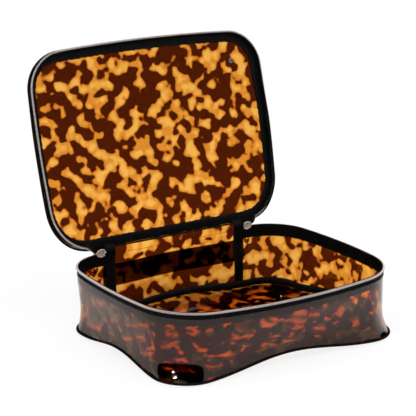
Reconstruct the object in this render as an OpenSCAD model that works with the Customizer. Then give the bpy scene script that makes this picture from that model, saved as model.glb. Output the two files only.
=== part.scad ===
// Makeup case of see-through tortoiseshell vinyl: a soft tray and a flat lid, bound with ribbon and zipped
// round three sides. The back wall is one sheet that folds under the lid, so the fold is the hinge.
// Millimetres. The origin is the middle of the base's underside, +Z is up and +Y points to the spine.
// Lid parts are drawn closed, and lid_pose() turns them to the angle that is shown.

/* [Case] */
// Width over the zip at the back corners
case_w = 275; // [240:1:320]
// Width over the zip at the base rim's front corners
rim_front_w = 278; // [244:1:324]
// Depth of the closed case over the zip
case_d = 207; // [170:1:240]
// Height of the plane where the lid meets the base
rim_h = 70; // [56:1:90]
// Radius of the base rim's two front corners
front_corner_r = 62; // [50:1:68]
// Radius of the two corners beside the spine, on base and lid
back_corner_r = 47; // [42:1:56]
// Outward bow of each side of the base's rim
side_bow = 3.5; // [0:0.5:5]
// Outward bow of the base rim's front
front_bow = 9; // [0:0.5:12]
// How far the open rim's front leans out past the closed case
rim_lean = 10; // [0:0.5:12]
// Thickness of the vinyl sheet
vinyl_t = 1; // [0.8:0.1:1.4]

/* [Foot] */
// Width of the bottom edge at its back corners
foot_w = 260; // [230:1:310]
// Width of the bottom edge at its front corners
foot_front_w = 268; // [236:1:316]
// Depth of the bottom edge at its corners
foot_d = 193; // [170:1:236]
// Radius of the four bottom corners
foot_corner_r = 34; // [33:1:42]
// Inward waist of the bottom edge in the middle of the front and back
foot_waist = 4; // [0:0.5:6]
// Inward waist of the bottom edge in the middle of each side
foot_waist_side = 0; // [0:0.5:6]
// Height of the bottom seam above the floor at the corners
seam_h = 2.75; // [2:0.25:5]
// Extra height of the bottom seam in the middle of each side
seam_rise = 7.5; // [0:0.5:12]
// Height over which the flare of the bottom corners fades out
flare_h = 20; // [10:1:24]
// Width of the floor's border that slopes up to the seam
floor_border = 28; // [18:1:30]
// Diameter of the dark cord in the outer bottom edge
piping_d = 2.4; // [1.6:0.2:3.2]

/* [Spine and lid] */
// Lid opening angle that is shown, measured from closed
lid_open = 105; // [0:5:150]
// Height of the hinge line above the meeting plane
hinge_up = 1.1; // [0:0.1:2]
// Distance of the hinge line behind the zip's outer face
hinge_back = 1.8; // [1:0.1:2.6]
// Distance of each vertical seam inboard of its corner's start
seam_in = 12; // [9:0.5:13]
// Outward bulge of the spine sheet in its middle
spine_bulge = 6; // [0:0.5:9]
// Height of the sheet that bends at the fold, on each side of the meeting plane
fold_half = 3.6; // [2.5:0.1:4.5]
// Depth of the lid, from the meeting plane to the panel's inner face
lid_h = 6; // [5.6:0.1:8]
// Width over the zip at the lid's free corners
lid_front_w = 279; // [244:1:324]
// Radius of the lid's two free corners
lid_corner_r = 40; // [36:1:56]
// Outward bow of each side of the lid
lid_side_bow = 1.5; // [0:0.5:4]
// Outward bow of the lid's free edge
lid_bow = 3; // [0:0.5:8]
// How far the lid's free edge stops short of the case's front
lid_short = 2.5; // [0:0.5:4]
// Width of the webbing band across the spine
strap_w = 22; // [15:1:26]
// Height of the webbing band's lower edge above the floor
strap_z = 33; // [28:1:38]
// Thickness of the webbing
strap_t = 1.4; // [1:0.1:2]
// Length of webbing past each vertical seam
strap_tail = 8; // [7:0.5:9]

/* [Ribbon binding] */
// Width of the ribbon over the vertical seams
ribbon_w = 11; // [8:0.5:12]
// Thickness of the folded ribbon
ribbon_t = 0.9; // [0.6:0.1:1.2]
// Width of the ribbon round the lid panel
lid_ribbon_w = 7.4; // [6:0.2:12]
// Height of the rolled ribbon over the bottom seam
roll_h = 8; // [5:0.5:10]
// Depth of the rolled ribbon over the bottom seam
roll_t = 5; // [3:0.5:6]

/* [Zip] */
// Gap between the two rows of the coil when the lid is closed
zip_gap = 1.4; // [1.4:0.1:2]
// Height of one row of the coil
coil_h = 2.6; // [2:0.1:2.8]
// Thickness of the coil
coil_t = 2.2; // [1.8:0.1:2.6]
// Thickness of the woven tape
tape_t = 0.6; // [0.4:0.1:0.8]
// Width of the base's tape from the meeting plane down
tape_w = 14; // [10:0.5:18]
// Width of base tape and coil that shows above the vinyl
tape_show = 6.5; // [6:0.5:9]
// How far the coil stands proud of the vinyl
coil_proud = 1.2; // [0.8:0.1:1.4]

/* [Sliders] */
// Length of a slider's plates
slider_l = 10; // [8:0.5:11]
// Thickness of a slider's plates
plate_t = 0.9; // [0.7:0.1:1.2]
// Clearance between a slider's plates and the zip
slider_gap = 0.55; // [0.5:0.05:0.8]
// Distance between the two legs of the loop that holds the pull
loop_l = 6; // [5.4:0.2:6.6]
// Radius of a loop's leg
leg_r = 0.8; // [0.6:0.1:0.9]
// Radial clearance of the pull's eye on the leg
eye_gap = 0.06; // [0.02:0.02:0.1]
// Length of a pull from its eye
pull_l = 22; // [16:1:28]
// Width of a pull at its free end
pull_w = 6.4; // [5:0.2:8]
// Thickness of a pull
pull_t = 0.8; // [0.6:0.1:1]
// Play of the pull between the plate and the loop, on each side
pull_play = 0.4; // [0.3:0.05:0.6]

/* [Stud] */
// Distance of the stud from the side of the case
stud_side = 33.5; // [26:0.5:57]
// Distance of the stud from the closed case's front
stud_front = 37.5; // [24:0.5:53]
// Diameter of the stud's domed cap
stud_d = 6; // [4:0.5:9]
// Height of the stud's dome
stud_dome = 2; // [1:0.1:2.5]
// Diameter of the stud's shank
shank_d = 2.5; // [2:0.1:3.5]

/* [Hidden] */
$fn = 48;

// Steps in a quarter turn, along a side and along the front
arc_steps = 12;
side_steps = 8;
front_steps = 10;
// Steps along the fold and along each zip fold
fold_steps = 8;
tube_sides = 8;
// Gap that keeps sewn layers apart
seat = 0.05;

vinyl_colour = [0.55, 0.27, 0.09];
ribbon_colour = [0.05, 0.05, 0.05];
coil_colour = [0.72, 0.66, 0.64];
metal_colour = [0.78, 0.76, 0.75];

// The vertical seams
ribbon_half = ribbon_w / 2;
seam_x = case_w / 2 - back_corner_r - seam_in;

// The stud's place on the lid
stud_x = case_w / 2 - stud_side;
stud_y = stud_front - case_d / 2;

// Hinge line
hinge_y = case_d / 2 + hinge_back;
hinge_z = rim_h + hinge_up;
fold_low = rim_h - fold_half;
fold_high = rim_h + fold_half;

// Height above which the walls stand upright, just under the zip tape
upright_z = rim_h - tape_w - 2;

// Levels of the sewn layers, measured outward from the zip's outer face
wall_out = -coil_proud;
wall_in = wall_out - vinyl_t;
tape_out = -coil_t - seat;
tape_in = tape_out - tape_t;
ribbon_out = wall_in - seat;
plate_out = slider_gap;
plate_in = tape_in - slider_gap;

// Places along the spine, from the right seam to the left
spine_xs = concat([seam_x], [for (k = [4:-1:-4]) (seam_x - ribbon_half) * k / 4], [-seam_x]);
spine_last = len(spine_xs) - 1;
left_ribbon = spine_last + 1;
left_tail = spine_last + 2;
left_corner = spine_last + 3;

// The lid's zip is sewn from this many steps into each back corner
lid_zip_skip = 3;
lid_zip_from = left_corner + lid_zip_skip;

function bump(u) = abs(u) < 1 ? (1 + cos(180 * u)) / 2 : 0;
function smooth(t) = t * t * (3 - 2 * t);

// Angle by which a side that bows by b turns at its ends: half its run between corner centres, mean corner radius
function side_turn(b, run, r) = let (a = atan(2 * b / run)) atan(2 * b / (run + r * sin(a)));

// The inner points of a side from p to q that bows out to its right and leaves p at the angle turn
function side(p, q, turn, steps) =
    let (half = (q - p) / 2, n = [half.y, -half.x])
    [for (i = [1:steps - 1]) let (t = 2 * i / steps - 1) (p + q) / 2 + half * t + n * (1 - t * t) * tan(turn) / 2];

// Outline data of a closed plan that is wb wide at its back corners and wf at its front ones: the corner centres
// and radii, how far each side, the front and the back turn at their ends, and how far each side splays
function outline(wb, wf, y0, y1, rb, rf, bow_s, bow_f, bow_b) =
    let (
        ts = side_turn(bow_s, (y1 - y0 - rb - rf) / 2, (rb + rf) / 2),
        tf = side_turn(bow_f, wf / 2 - rf, rf),
        tb = side_turn(bow_b, wb / 2 - rb, rb),
        b = [wb / 2 - rb, y1 - bow_b - rb * cos(tb)],
        f = [wf / 2 - rf, y0 + bow_f + rf * cos(tf)],
        splay = atan((f.x - b.x) / (b.y - f.y)) + asin((rf - rb) / norm(b - f))
    )
    [b, f, rb, rf, ts, tf, tb, splay];

// A quarter turn about c that starts at angle a and leaves out a share t0 at its start and t1 at its end
function corner(c, r, a, t0, t1) =
    [for (i = [0:arc_steps]) let (b = a + t0 + (90 - t0 - t1) * i / arc_steps) c + r * [cos(b), sin(b)]];

// The closed plan line of an outline moved outward by o, counter-clockwise from the right seam
function plan(data, o) =
    let (
        b = data[0], f = data[1], rb = data[2] + o, rf = data[3] + o,
        ts = data[4], tf = data[5], tb = data[6], splay = data[7],
        run = b.x + rb * sin(tb),
        back_y = b.y + rb * cos(tb),
        lb = corner([-b.x, b.y], rb, 90, tb, ts + splay),
        lf = corner([-f.x, f.y], rf, 180, ts - splay, tf),
        xs = concat(spine_xs, [-seam_x - ribbon_half, -seam_x - strap_tail]),
        back = [for (x = xs) [x, back_y + run * tan(tb) / 2 * (1 - pow(x / run, 2))]],
        left = concat(lb, side(lb[arc_steps], lf[0], ts, side_steps), lf),
        front = side(lf[arc_steps], [-lf[arc_steps].x, lf[arc_steps].y], tf, front_steps)
    )
    concat(back, left, front, mirrored(left), mirrored([for (k = [1, 2]) back[spine_last + k]]));
function mirrored(points) = [for (k = [len(points) - 1:-1:0]) [-points[k].x, points[k].y]];

// The base's zip, the lid's zip and the bottom edge, each moved outward by o
rim_data = outline(case_w, rim_front_w, -case_d / 2 - rim_lean, case_d / 2, back_corner_r, front_corner_r,
    side_bow, front_bow, 0);
lid_data = outline(case_w, lid_front_w, -case_d / 2 + lid_short, case_d / 2, back_corner_r, lid_corner_r,
    lid_side_bow, lid_bow, 0);
foot_data = outline(foot_w, foot_front_w, -foot_d / 2, foot_d / 2, foot_corner_r, foot_corner_r,
    -foot_waist_side, -foot_waist, -foot_waist);
function rim_line(o) = plan(rim_data, o);
function lid_line(o) = plan(lid_data, o);
function foot_line(o) = plan(foot_data, o);

ring_count = len(rim_line(0));
lid_zip_to = ring_count - 3 - lid_zip_skip;
function at(line, i) = line[(i + ring_count) % ring_count];

// The back corners' centres, about which the sliders turn as they run round
corner_x = rim_data[0].x;
corner_y = rim_data[0].y;

function outward(i) = let (d = at(rim_line(1), i) - at(rim_line(0), i)) d / norm(d);

// Height of the bottom seam at each place: low at the corners and high between them
foot_edge = foot_line(wall_out);
function seam_z(i) =
    let (p = at(foot_edge, i))
    seam_h + seam_rise * (bump(p.x / foot_data[0].x) + bump(p.y / foot_data[0].y));

// Share of the bottom edge's outline at a height above the seam, where the edge stands out past the rim by out: a
// corner flares near the floor, and a side that stands in slants all the way up to the zip tape
function flare(up, base, out) =
    let (
        corner = pow(max(0, 1 - up / flare_h), 2),
        slant = max(0, 1 - up / (upright_z - base)),
        inner = smooth(min(1, max(0, 0.5 - out / flare_h)))
    )
    corner + (slant - corner) * inner;

// Heights up a wall: [1, h] is h above the seam and [0, z] is z above the floor
wall_foot = [[1, 0], [1, 2], [1, 4.5], [1, 8], [1, 12], [1, 18]];
strap_top = strap_z + strap_w;
spine_heights = sorted([strap_z, strap_z + strap_w / 2, strap_top, upright_z]);
function sorted(v) =
    len(v) < 2 ? v : concat(sorted([for (x = v) if (x < v[0]) x]), v[0], sorted([for (x = v) if (x > v[0]) x]));
function levels(heights) = [for (z = heights) [0, z]];

function wall_point(lines, i, level) =
    let (
        base = seam_z(i),
        z = level[0] * base + level[1],
        rim = at(lines[0], i),
        reach = at(lines[1], i) - rim,
        p = rim + reach * flare(z - base, base, reach * outward(i)),
        rise = min(1, max(0, (z - base) / (fold_low - base))),
        out = spine_bulge * bump(p.x / seam_x) * sin(180 * rise) * (p.y > 0 ? 1 : 0)
    )
    [p.x, p.y + out, z];
function wall_lines(o) = [rim_line(o), foot_line(o)];

// Closed section of a sheet of wall at place i, outer side up and inner side down
function wall_section(outer, inner, i, levels) =
    concat([for (l = levels) wall_point(outer, i, l)],
        [for (k = [len(levels) - 1:-1:0]) wall_point(inner, i, levels[k])]);

// Joins sections that follow each other along a path into one solid. The two halves of a section run opposite ways,
// so their faces are split opposite ways, and a sheet keeps its thickness. Each end is a strip from half to half.
module sweep(sections, closed = false) {
    n = len(sections);
    p = len(sections[0]);
    spans = closed ? n : n - 1;
    skin = [for (k = [0:spans - 1]) for (j = [0:p - 1])
        let (a = k * p + j, b = k * p + (j + 1) % p, m = (k + 1) % n * p, c = m + (j + 1) % p, d = m + j)
        each j < p / 2 ? [[a, b, c], [a, c, d]] : [[a, b, d], [b, c, d]]];
    last = (n - 1) * p;
    caps = closed ? [] : [for (j = [0:p / 2 - 2]) let (a = j, b = j + 1, c = p - 2 - j, d = p - 1 - j)
        each [[a, c, b], [a, d, c], [last + a, last + b, last + c], [last + a, last + c, last + d]]];
    polyhedron([for (s = sections) each s], concat(skin, caps));
}

// A curved sheet that follows the wall between two places
module wall_sheet(from, to, o_out, o_in, levels) {
    outer = wall_lines(o_out);
    inner = wall_lines(o_in);
    sweep([for (i = [from:to]) wall_section(outer, inner, i, levels)]);
}

// A round or oval cord on centres c(i), with half sizes rx outward and rz upward
function oval(c, i, rx, rz) =
    [for (k = [0:tube_sides - 1]) let (a = 360 * k / tube_sides, n = outward(i))
        [c.x + n.x * rx * cos(a), c.y + n.y * rx * cos(a), c.z + rz * sin(a)]];

// A flat band between two lines, from one place to another
module band(from, to, outer, inner, z, h) {
    translate([0, 0, z])
        linear_extrude(h)
            polygon(concat([for (i = [from:to]) at(outer, i)], [for (i = [to:-1:from]) at(inner, i)]));
}

module lid_pose() {
    translate([0, hinge_y, hinge_z])
        rotate([-lid_open, 0, 0])
            translate([0, -hinge_y, -hinge_z])
                children();
}

// A point of the closed case turned by a share f of the lid's opening
function turned(p, f) =
    let (a = lid_open * f, y = p.y - hinge_y, z = p.z - hinge_z)
    [p.x, hinge_y + y * cos(a) + z * sin(a), hinge_z - y * sin(a) + z * cos(a)];

// A sheet of the spine that bends over the fold, between two places across the case
module folded_sheet(x1, x0, o_out, o_in) {
    steps = [for (j = [0:fold_steps]) j / fold_steps];
    back = case_d / 2;
    function side_up(x, o) =
        [for (t = steps) turned([x, back + o, fold_low + (fold_high - fold_low) * t], smooth(t))];
    function side_down(x, o) = let (u = side_up(x, o)) [for (k = [fold_steps:-1:0]) u[k]];
    sweep([for (x = [x1, x0]) concat(side_up(x, o_out), side_down(x, o_in))]);
}

module bottom_panel() {
    lap = 1;
    rings = [for (d = [0, floor_border / 2, floor_border, floor_border + lap]) foot_line(wall_out - 0.2 - d)];
    function rise(i, k) = (seam_z(i) - seat - vinyl_t) * max(0, 1 - k / 2);
    color(vinyl_colour) {
        sweep([for (i = [0:ring_count - 1])
            concat([for (k = [3:-1:0]) let (p = rings[k][i]) [p.x, p.y, rise(i, k)]],
                [for (k = [0:3]) let (p = rings[k][i]) [p.x, p.y, rise(i, k) + vinyl_t]])], closed = true);
        linear_extrude(vinyl_t)
            polygon(foot_line(wall_out - 0.2 - floor_border - lap / 2));
    }
}

module side_gusset() {
    color(vinyl_colour)
        wall_sheet(spine_last, ring_count, wall_out, wall_in,
            concat(wall_foot, levels([rim_h / 2, upright_z, rim_h - tape_show])));
}

module spine_panel() {
    color(vinyl_colour)
        wall_sheet(0, spine_last, wall_out, wall_in, concat(wall_foot, levels(spine_heights), levels([fold_low])));
}

module bottom_seam_binding() {
    line = wall_lines(wall_in - 0.3 - roll_t / 2);
    color(ribbon_colour)
        sweep([for (i = [0:ring_count - 1])
            let (
                low = wall_point(line, i, [1, 0]),
                high = wall_point(line, i, [1, roll_h - 1]),
                n = outward(i),
                p = n.x * (high.x - low.x) + n.y * (high.y - low.y) < 0 ? high : low
            )
            oval([p.x, p.y, seam_z(i) + roll_h / 2 + 0.3], i, roll_t / 2, roll_h / 2)], closed = true);
}

module bottom_edge_piping() {
    line = foot_line(wall_out + piping_d / 2 + 0.1);
    color(ribbon_colour)
        sweep([for (i = [0:ring_count - 1]) let (p = line[i])
            oval([p.x, p.y, seam_z(i) - 0.2], i, piping_d / 2, piping_d / 2)], closed = true);
}

module seam_binding(middle) {
    color(ribbon_colour)
        wall_sheet(middle - 1, middle + 1, ribbon_out, ribbon_out - ribbon_t,
            concat([[1, roll_h + 1], [1, 12], [1, 18]], levels(spine_heights), levels([fold_low])));
}
module left_seam_binding() { seam_binding(spine_last); }
module right_seam_binding() { seam_binding(0); }

module base_zip_tape() {
    color(ribbon_colour)
        band(left_ribbon, ring_count - 1, rim_line(tape_out), rim_line(tape_in), rim_h - tape_w,
            tape_w - zip_gap / 2);
}

module zip_coil(from, to, line, z) {
    color(coil_colour)
        sweep([for (i = [from:to]) let (p = at(line, i)) oval([p.x, p.y, z], i, coil_t / 2, coil_h / 2)]);
}
module base_zip_coil() {
    zip_coil(left_ribbon, ring_count - 1, rim_line(-coil_t / 2), rim_h - zip_gap / 2 - coil_h / 2);
}

module spine_strap() {
    heights = [for (z = spine_heights) if (z <= strap_top) z];
    color([0.10, 0.08, 0.05])
        wall_sheet(-2, left_tail, wall_out + seat + strap_t, wall_out + seat, levels(heights));
}

module spine_fold() {
    color(vinyl_colour)
        folded_sheet(seam_x, -seam_x, wall_out, wall_in);
}

module seam_binding_folds() {
    color(ribbon_colour)
        for (s = [1, -1])
            folded_sheet(s * seam_x + ribbon_half, s * seam_x - ribbon_half, ribbon_out, ribbon_out - ribbon_t);
}

// A point of a left back corner and its outward direction, after a share t of the way round
function corner_point(data, t) =
    let (a = (90 - data[4] - data[7]) * t, n = [-sin(a), cos(a)])
    [[-data[0].x, data[0].y] + data[2] * n, n];

// The lid's row of the zip from the seam through the slider. Then it leaves the base's corner for the lid's and turns
// with the lid, until just short of the lid's coil.
zip_fold_from = 1 / arc_steps;
zip_fold_to = (lid_zip_skip - 0.03) / arc_steps;
module zip_fold() {
    low = rim_h + zip_gap / 2;
    high = low + coil_h;
    function section(p, n, f) =
        [for (q = [[0, low], [0, high], [tape_in, high], [tape_in, low]])
            turned([p.x + n.x * q[0], p.y + n.y * q[0], q[1]], f)];
    straight = [for (x = [seam_x + ribbon_half, corner_x]) section([-x, case_d / 2], [0, 1], 0)];
    bent = [for (k = [0:fold_steps])
        let (
            t = zip_fold_from + (zip_fold_to - zip_fold_from) * k / fold_steps,
            f = smooth(k / fold_steps),
            c = corner_point(rim_data, t) * (1 - f) + corner_point(lid_data, t) * f
        )
        section(c[0], c[1] / norm(c[1]), f)];
    color(coil_colour)
        sweep(concat(straight, bent));
}
module left_zip_fold() { zip_fold(); }
module right_zip_fold() { mirror([1, 0, 0]) zip_fold(); }

// A slider in its own frame: +X to the zip's end, +Y outward from the zip's outer face, z = 0 at the zip's middle
slider_half_h = zip_gap / 2 + coil_h + 0.35 + plate_t;
loop_y = plate_out + plate_t;
loop_room = pull_t + 2 * pull_play;

// An upright shape drawn in x and z, from y0 outward by t
module upright(y0, t) {
    translate([0, y0 + t, 0])
        rotate([90, 0, 0])
            linear_extrude(t)
                children();
}

module slider_plate(y0) {
    upright(y0, plate_t)
        hull()
            for (s = [-1, 1]) {
                translate([1.6 - slider_l / 2, s * (slider_half_h - 1.6)])
                    circle(1.6, $fn = 32);
                translate([slider_l / 2 - 1, s * (slider_half_h - 1.2)])
                    circle(1, $fn = 32);
            }
}

module slider() {
    joint = plate_t / 3;
    wedge_r = zip_gap / 2 - 0.2;
    flange_h = plate_t - 0.15;
    color(metal_colour) {
        slider_plate(plate_out);
        slider_plate(plate_in - plate_t);
        upright(plate_in - joint, plate_out - plate_in + 2 * joint)
            hull()
                for (x = [wedge_r - slider_l / 2, 2.6 - slider_l / 2])
                    translate([x, 0])
                        circle(wedge_r, $fn = 24);
        for (s = [-1, 1])
            translate([1 - slider_l / 2, -coil_t + 0.4, s > 0 ? slider_half_h - 0.3 - flange_h : 0.3 - slider_half_h])
                cube([slider_l - 2.4, plate_out + coil_t - 0.4 + joint, flange_h]);
        for (s = [-1, 1])
            translate([s * loop_l / 2, loop_y + loop_room + joint, 0])
                rotate([90, 0, 0])
                    cylinder(r = leg_r, h = loop_room + 2 * joint);
        upright(loop_y + loop_room, plate_t)
            hull()
                for (s = [-1, 1])
                    translate([s * loop_l / 2, 0])
                        circle(leg_r + 0.2, $fn = 32);
    }
}

module pull() {
    y0 = loop_y + pull_play;
    color(metal_colour)
        difference() {
            upright(y0, pull_t)
                hull() {
                    translate([-loop_l / 2, 0])
                        circle(leg_r + 1.3);
                    translate([-loop_l / 2, pull_w / 2 - pull_l])
                        circle(pull_w / 2);
                }
            translate([-loop_l / 2, y0 + pull_t + 1, 0])
                rotate([90, 0, 0])
                    cylinder(r = leg_r + eye_gap, h = pull_t + 2);
            upright(y0 - 1, pull_t + 2)
                hull() {
                    translate([-loop_l / 2, pull_w - pull_l])
                        circle(pull_w / 4, $fn = 24);
                    translate([-loop_l / 2, -leg_r - 4])
                        circle(pull_w / 8, $fn = 24);
                }
        }
}

module at_left_slider() { translate([-corner_x, case_d / 2, rim_h]) children(); }
module left_slider() { at_left_slider() slider(); }
module left_pull() { at_left_slider() pull(); }
module right_slider() { mirror([1, 0, 0]) left_slider(); }
module right_pull() { mirror([1, 0, 0]) left_pull(); }

module lid_panel() {
    color(vinyl_colour)
        lid_pose()
            difference() {
                translate([0, 0, rim_h + lid_h])
                    linear_extrude(vinyl_t)
                        polygon(lid_line(wall_out));
                translate([stud_x, stud_y, rim_h + lid_h - 1])
                    cylinder(d = shank_d + 2 * seat, h = vinyl_t + 2);
            }
}

module lid_seam_binding() {
    color(ribbon_colour)
        lid_pose()
            difference() {
                translate([0, 0, rim_h + lid_h - seat - ribbon_t])
                    linear_extrude(ribbon_t)
                        polygon(lid_line(tape_in - seat));
                translate([0, 0, rim_h])
                    linear_extrude(2 * lid_h)
                        polygon(lid_line(tape_in - seat - lid_ribbon_w));
            }
}

module lid_edge_piping() {
    line = lid_line(wall_out + piping_d / 2 + 0.1);
    z = rim_h + lid_h + vinyl_t / 2;
    color(ribbon_colour)
        lid_pose()
            sweep([for (i = [0:ring_count - 1]) let (p = line[i])
                oval([p.x, p.y, z], i, piping_d / 2, piping_d / 2)], closed = true);
}

module lid_zip_tape() {
    low = rim_h + zip_gap / 2;
    color(ribbon_colour)
        lid_pose()
            band(lid_zip_from, lid_zip_to, lid_line(tape_out), lid_line(tape_in), low, rim_h + lid_h - seat - low);
}

module lid_zip_coil() {
    lid_pose()
        zip_coil(lid_zip_from, lid_zip_to, lid_line(-coil_t / 2), rim_h + zip_gap / 2 + coil_h / 2);
}

module lid_spine_strip() {
    color(vinyl_colour)
        lid_pose()
            translate([-seam_x, case_d / 2 + wall_in, fold_high])
                cube([2 * seam_x, vinyl_t, rim_h + lid_h - seat - fold_high]);
}

module stud_place() { lid_pose() translate([stud_x, stud_y, rim_h + lid_h]) children(); }

module stud_cap() {
    r = stud_d / 2;
    color(metal_colour)
        stud_place()
            rotate([180, 0, 0])
                rotate_extrude()
                    polygon(concat([[0, 0], [r, 0]],
                        [for (k = [0:8]) [r * cos(90 * k / 8), 0.4 + (stud_dome - 0.4) * sin(90 * k / 8)]]));
}

module stud_post() {
    color(metal_colour)
        stud_place()
            cylinder(d = shank_d, h = vinyl_t);
}

module stud_back() {
    r = stud_d / 2 + 0.5;
    color(metal_colour)
        stud_place()
            translate([0, 0, vinyl_t])
                rotate_extrude()
                    polygon([[0, 0], [r, 0], [r, 0.5], [r - 0.8, 1.1], [0, 1.3]]);
}

bottom_panel();
side_gusset();
spine_panel();
bottom_seam_binding();
bottom_edge_piping();
left_seam_binding();
right_seam_binding();
base_zip_tape();
base_zip_coil();
spine_strap();
spine_fold();
seam_binding_folds();
left_zip_fold();
right_zip_fold();
left_slider();
left_pull();
right_slider();
right_pull();
lid_panel();
lid_seam_binding();
lid_edge_piping();
lid_zip_tape();
lid_zip_coil();
lid_spine_strip();
stud_cap();
stud_post();
stud_back();
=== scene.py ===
# %% [markdown]
# # A soft makeup case of see-through tortoiseshell vinyl
# The case is a deep tray and a flat lid, made of clear printed sheet and bound with black ribbon. A coil
# zip runs round three sides. The back wall is one sheet that bends under the lid, so the fold is the hinge.
# Every length below is in millimetres and in the frame of the CAD model, and it becomes metres only when a
# mesh is made. The first cell loads the CAD model, whose joints move the pieces here that ride on its bodies.

import math
from collections import namedtuple
from functools import partial

import bpy
import numpy as np
from mathutils import Matrix, Vector


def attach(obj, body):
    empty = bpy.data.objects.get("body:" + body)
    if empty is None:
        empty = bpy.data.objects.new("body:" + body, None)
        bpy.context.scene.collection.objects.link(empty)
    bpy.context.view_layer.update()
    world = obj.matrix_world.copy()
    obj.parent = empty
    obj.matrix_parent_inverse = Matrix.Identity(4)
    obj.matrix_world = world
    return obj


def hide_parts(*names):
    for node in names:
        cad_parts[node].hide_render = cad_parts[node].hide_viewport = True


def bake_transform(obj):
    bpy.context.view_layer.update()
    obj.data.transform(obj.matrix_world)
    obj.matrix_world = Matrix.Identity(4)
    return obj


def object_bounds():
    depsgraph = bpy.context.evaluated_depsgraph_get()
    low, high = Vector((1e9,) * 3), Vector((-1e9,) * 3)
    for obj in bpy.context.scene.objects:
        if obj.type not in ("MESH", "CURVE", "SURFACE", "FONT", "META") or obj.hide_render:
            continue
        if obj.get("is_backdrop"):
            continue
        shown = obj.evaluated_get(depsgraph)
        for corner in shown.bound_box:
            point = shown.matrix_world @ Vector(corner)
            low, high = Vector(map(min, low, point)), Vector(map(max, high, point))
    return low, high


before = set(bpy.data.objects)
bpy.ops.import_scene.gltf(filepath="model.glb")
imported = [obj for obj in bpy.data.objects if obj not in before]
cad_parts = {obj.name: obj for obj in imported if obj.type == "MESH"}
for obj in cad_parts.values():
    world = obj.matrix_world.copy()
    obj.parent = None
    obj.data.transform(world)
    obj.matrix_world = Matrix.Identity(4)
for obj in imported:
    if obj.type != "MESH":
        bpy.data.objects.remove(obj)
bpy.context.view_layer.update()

# %% [markdown]
# ## Camera, floor and light
# A product photograph of a clear case is lit from behind and from above. The white table glows through the
# printed sheet, and a dark room in front keeps the sheet from mirroring anything pale. The camera stands
# low in front, to the left. A real softbox could be an area light, but an even silk over the whole table is
# one bright cap in the world, which lights the table the same everywhere and leaves no edge in the
# reflections.

# %% Camera
camera_azimuth, camera_elevation, camera_roll = (math.radians(a) for a in (-34.848, 16.289, 0.664))
camera_distance = 1788.743
camera_target = np.array((-3.287, 38.685, 118.699))


def unit(v):
    return v / np.linalg.norm(v)


back_way = np.array(
    (
        math.sin(camera_azimuth) * math.cos(camera_elevation),
        -math.cos(camera_azimuth) * math.cos(camera_elevation),
        math.sin(camera_elevation),
    )
)
level_x = unit(np.cross((0, 0, 1), back_way))
level_y = np.cross(back_way, level_x)
image_x = level_x * math.cos(camera_roll) + level_y * math.sin(camera_roll)
image_y = -level_x * math.sin(camera_roll) + level_y * math.cos(camera_roll)
camera_place = (camera_target + back_way * camera_distance) / 1000
camera = bpy.data.objects.new("camera", bpy.data.cameras.new("camera"))
bpy.context.scene.collection.objects.link(camera)
camera.matrix_world = Matrix(
    [[image_x[k], image_y[k], back_way[k], camera_place[k]] for k in range(3)] + [[0, 0, 0, 1]]
)
camera.data.sensor_width = 36
camera.data.lens = 156.36
bpy.context.scene.camera = camera
print("camera height:", round(camera_place[2], 3), "m")

# %% The world: a bright cap overhead, a dark room round it
world = bpy.data.worlds.new("studio")
bpy.context.scene.world = world
world.use_nodes = True
world_nodes, world_links = world.node_tree.nodes, world.node_tree.links
CAP_FROM, CAP_FULL = 0.68, 0.84  # heights on a unit sphere where the cap starts and is at full strength
sky = world_nodes["Background"]
way = world_nodes.new("ShaderNodeTexCoord")
split = world_nodes.new("ShaderNodeSeparateXYZ")
cap = world_nodes.new("ShaderNodeValToRGB")
cap.color_ramp.elements[0].position = CAP_FROM
cap.color_ramp.elements[0].color = (0.005, 0.005, 0.0055, 1)
cap.color_ramp.elements[1].position = CAP_FULL
cap.color_ramp.elements[1].color = (1, 1, 1, 1)
world_links.new(way.outputs["Generated"], split.inputs[0])
world_links.new(split.outputs["Z"], cap.inputs[0])
world_links.new(cap.outputs[0], sky.inputs["Color"])
sky.inputs["Strength"].default_value = 2.5
# The camera itself sees white past the end of the floor
white = world_nodes.new("ShaderNodeBackground")
pick = world_nodes.new("ShaderNodeMixShader")
ray = world_nodes.new("ShaderNodeLightPath")
world_links.new(ray.outputs["Is Camera Ray"], pick.inputs[0])
world_links.new(sky.outputs[0], pick.inputs[1])
world_links.new(white.outputs[0], pick.inputs[2])
world_links.new(pick.outputs[0], world_nodes["World Output"].inputs["Surface"])
bpy.context.scene.view_settings.view_transform = "Standard"
print("cap strength:", sky.inputs["Strength"].default_value)

# %% Floor and lamps
FLOOR_HALF, FLOOR_Z, FLOOR_GLOW = 6.0, -0.0004, 0.85
floor_mesh = bpy.data.meshes.new("floor")
corners = [(-1, -1), (1, -1), (1, 1), (-1, 1)]
floor_mesh.from_pydata([(x * FLOOR_HALF, y * FLOOR_HALF, FLOOR_Z) for x, y in corners], [], [(0, 1, 2, 3)])
floor = bpy.data.objects.new("floor", floor_mesh)
bpy.context.scene.collection.objects.link(floor)
floor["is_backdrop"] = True
paper = bpy.data.materials.new("white_paper")
paper.use_nodes = True
paper_shader = paper.node_tree.nodes["Principled BSDF"]
paper_shader.inputs["Base Color"].default_value = (0.88, 0.88, 0.88, 1)
paper_shader.inputs["Roughness"].default_value = 0.9
paper_shader.inputs["Specular IOR Level"].default_value = 0.1
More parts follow.
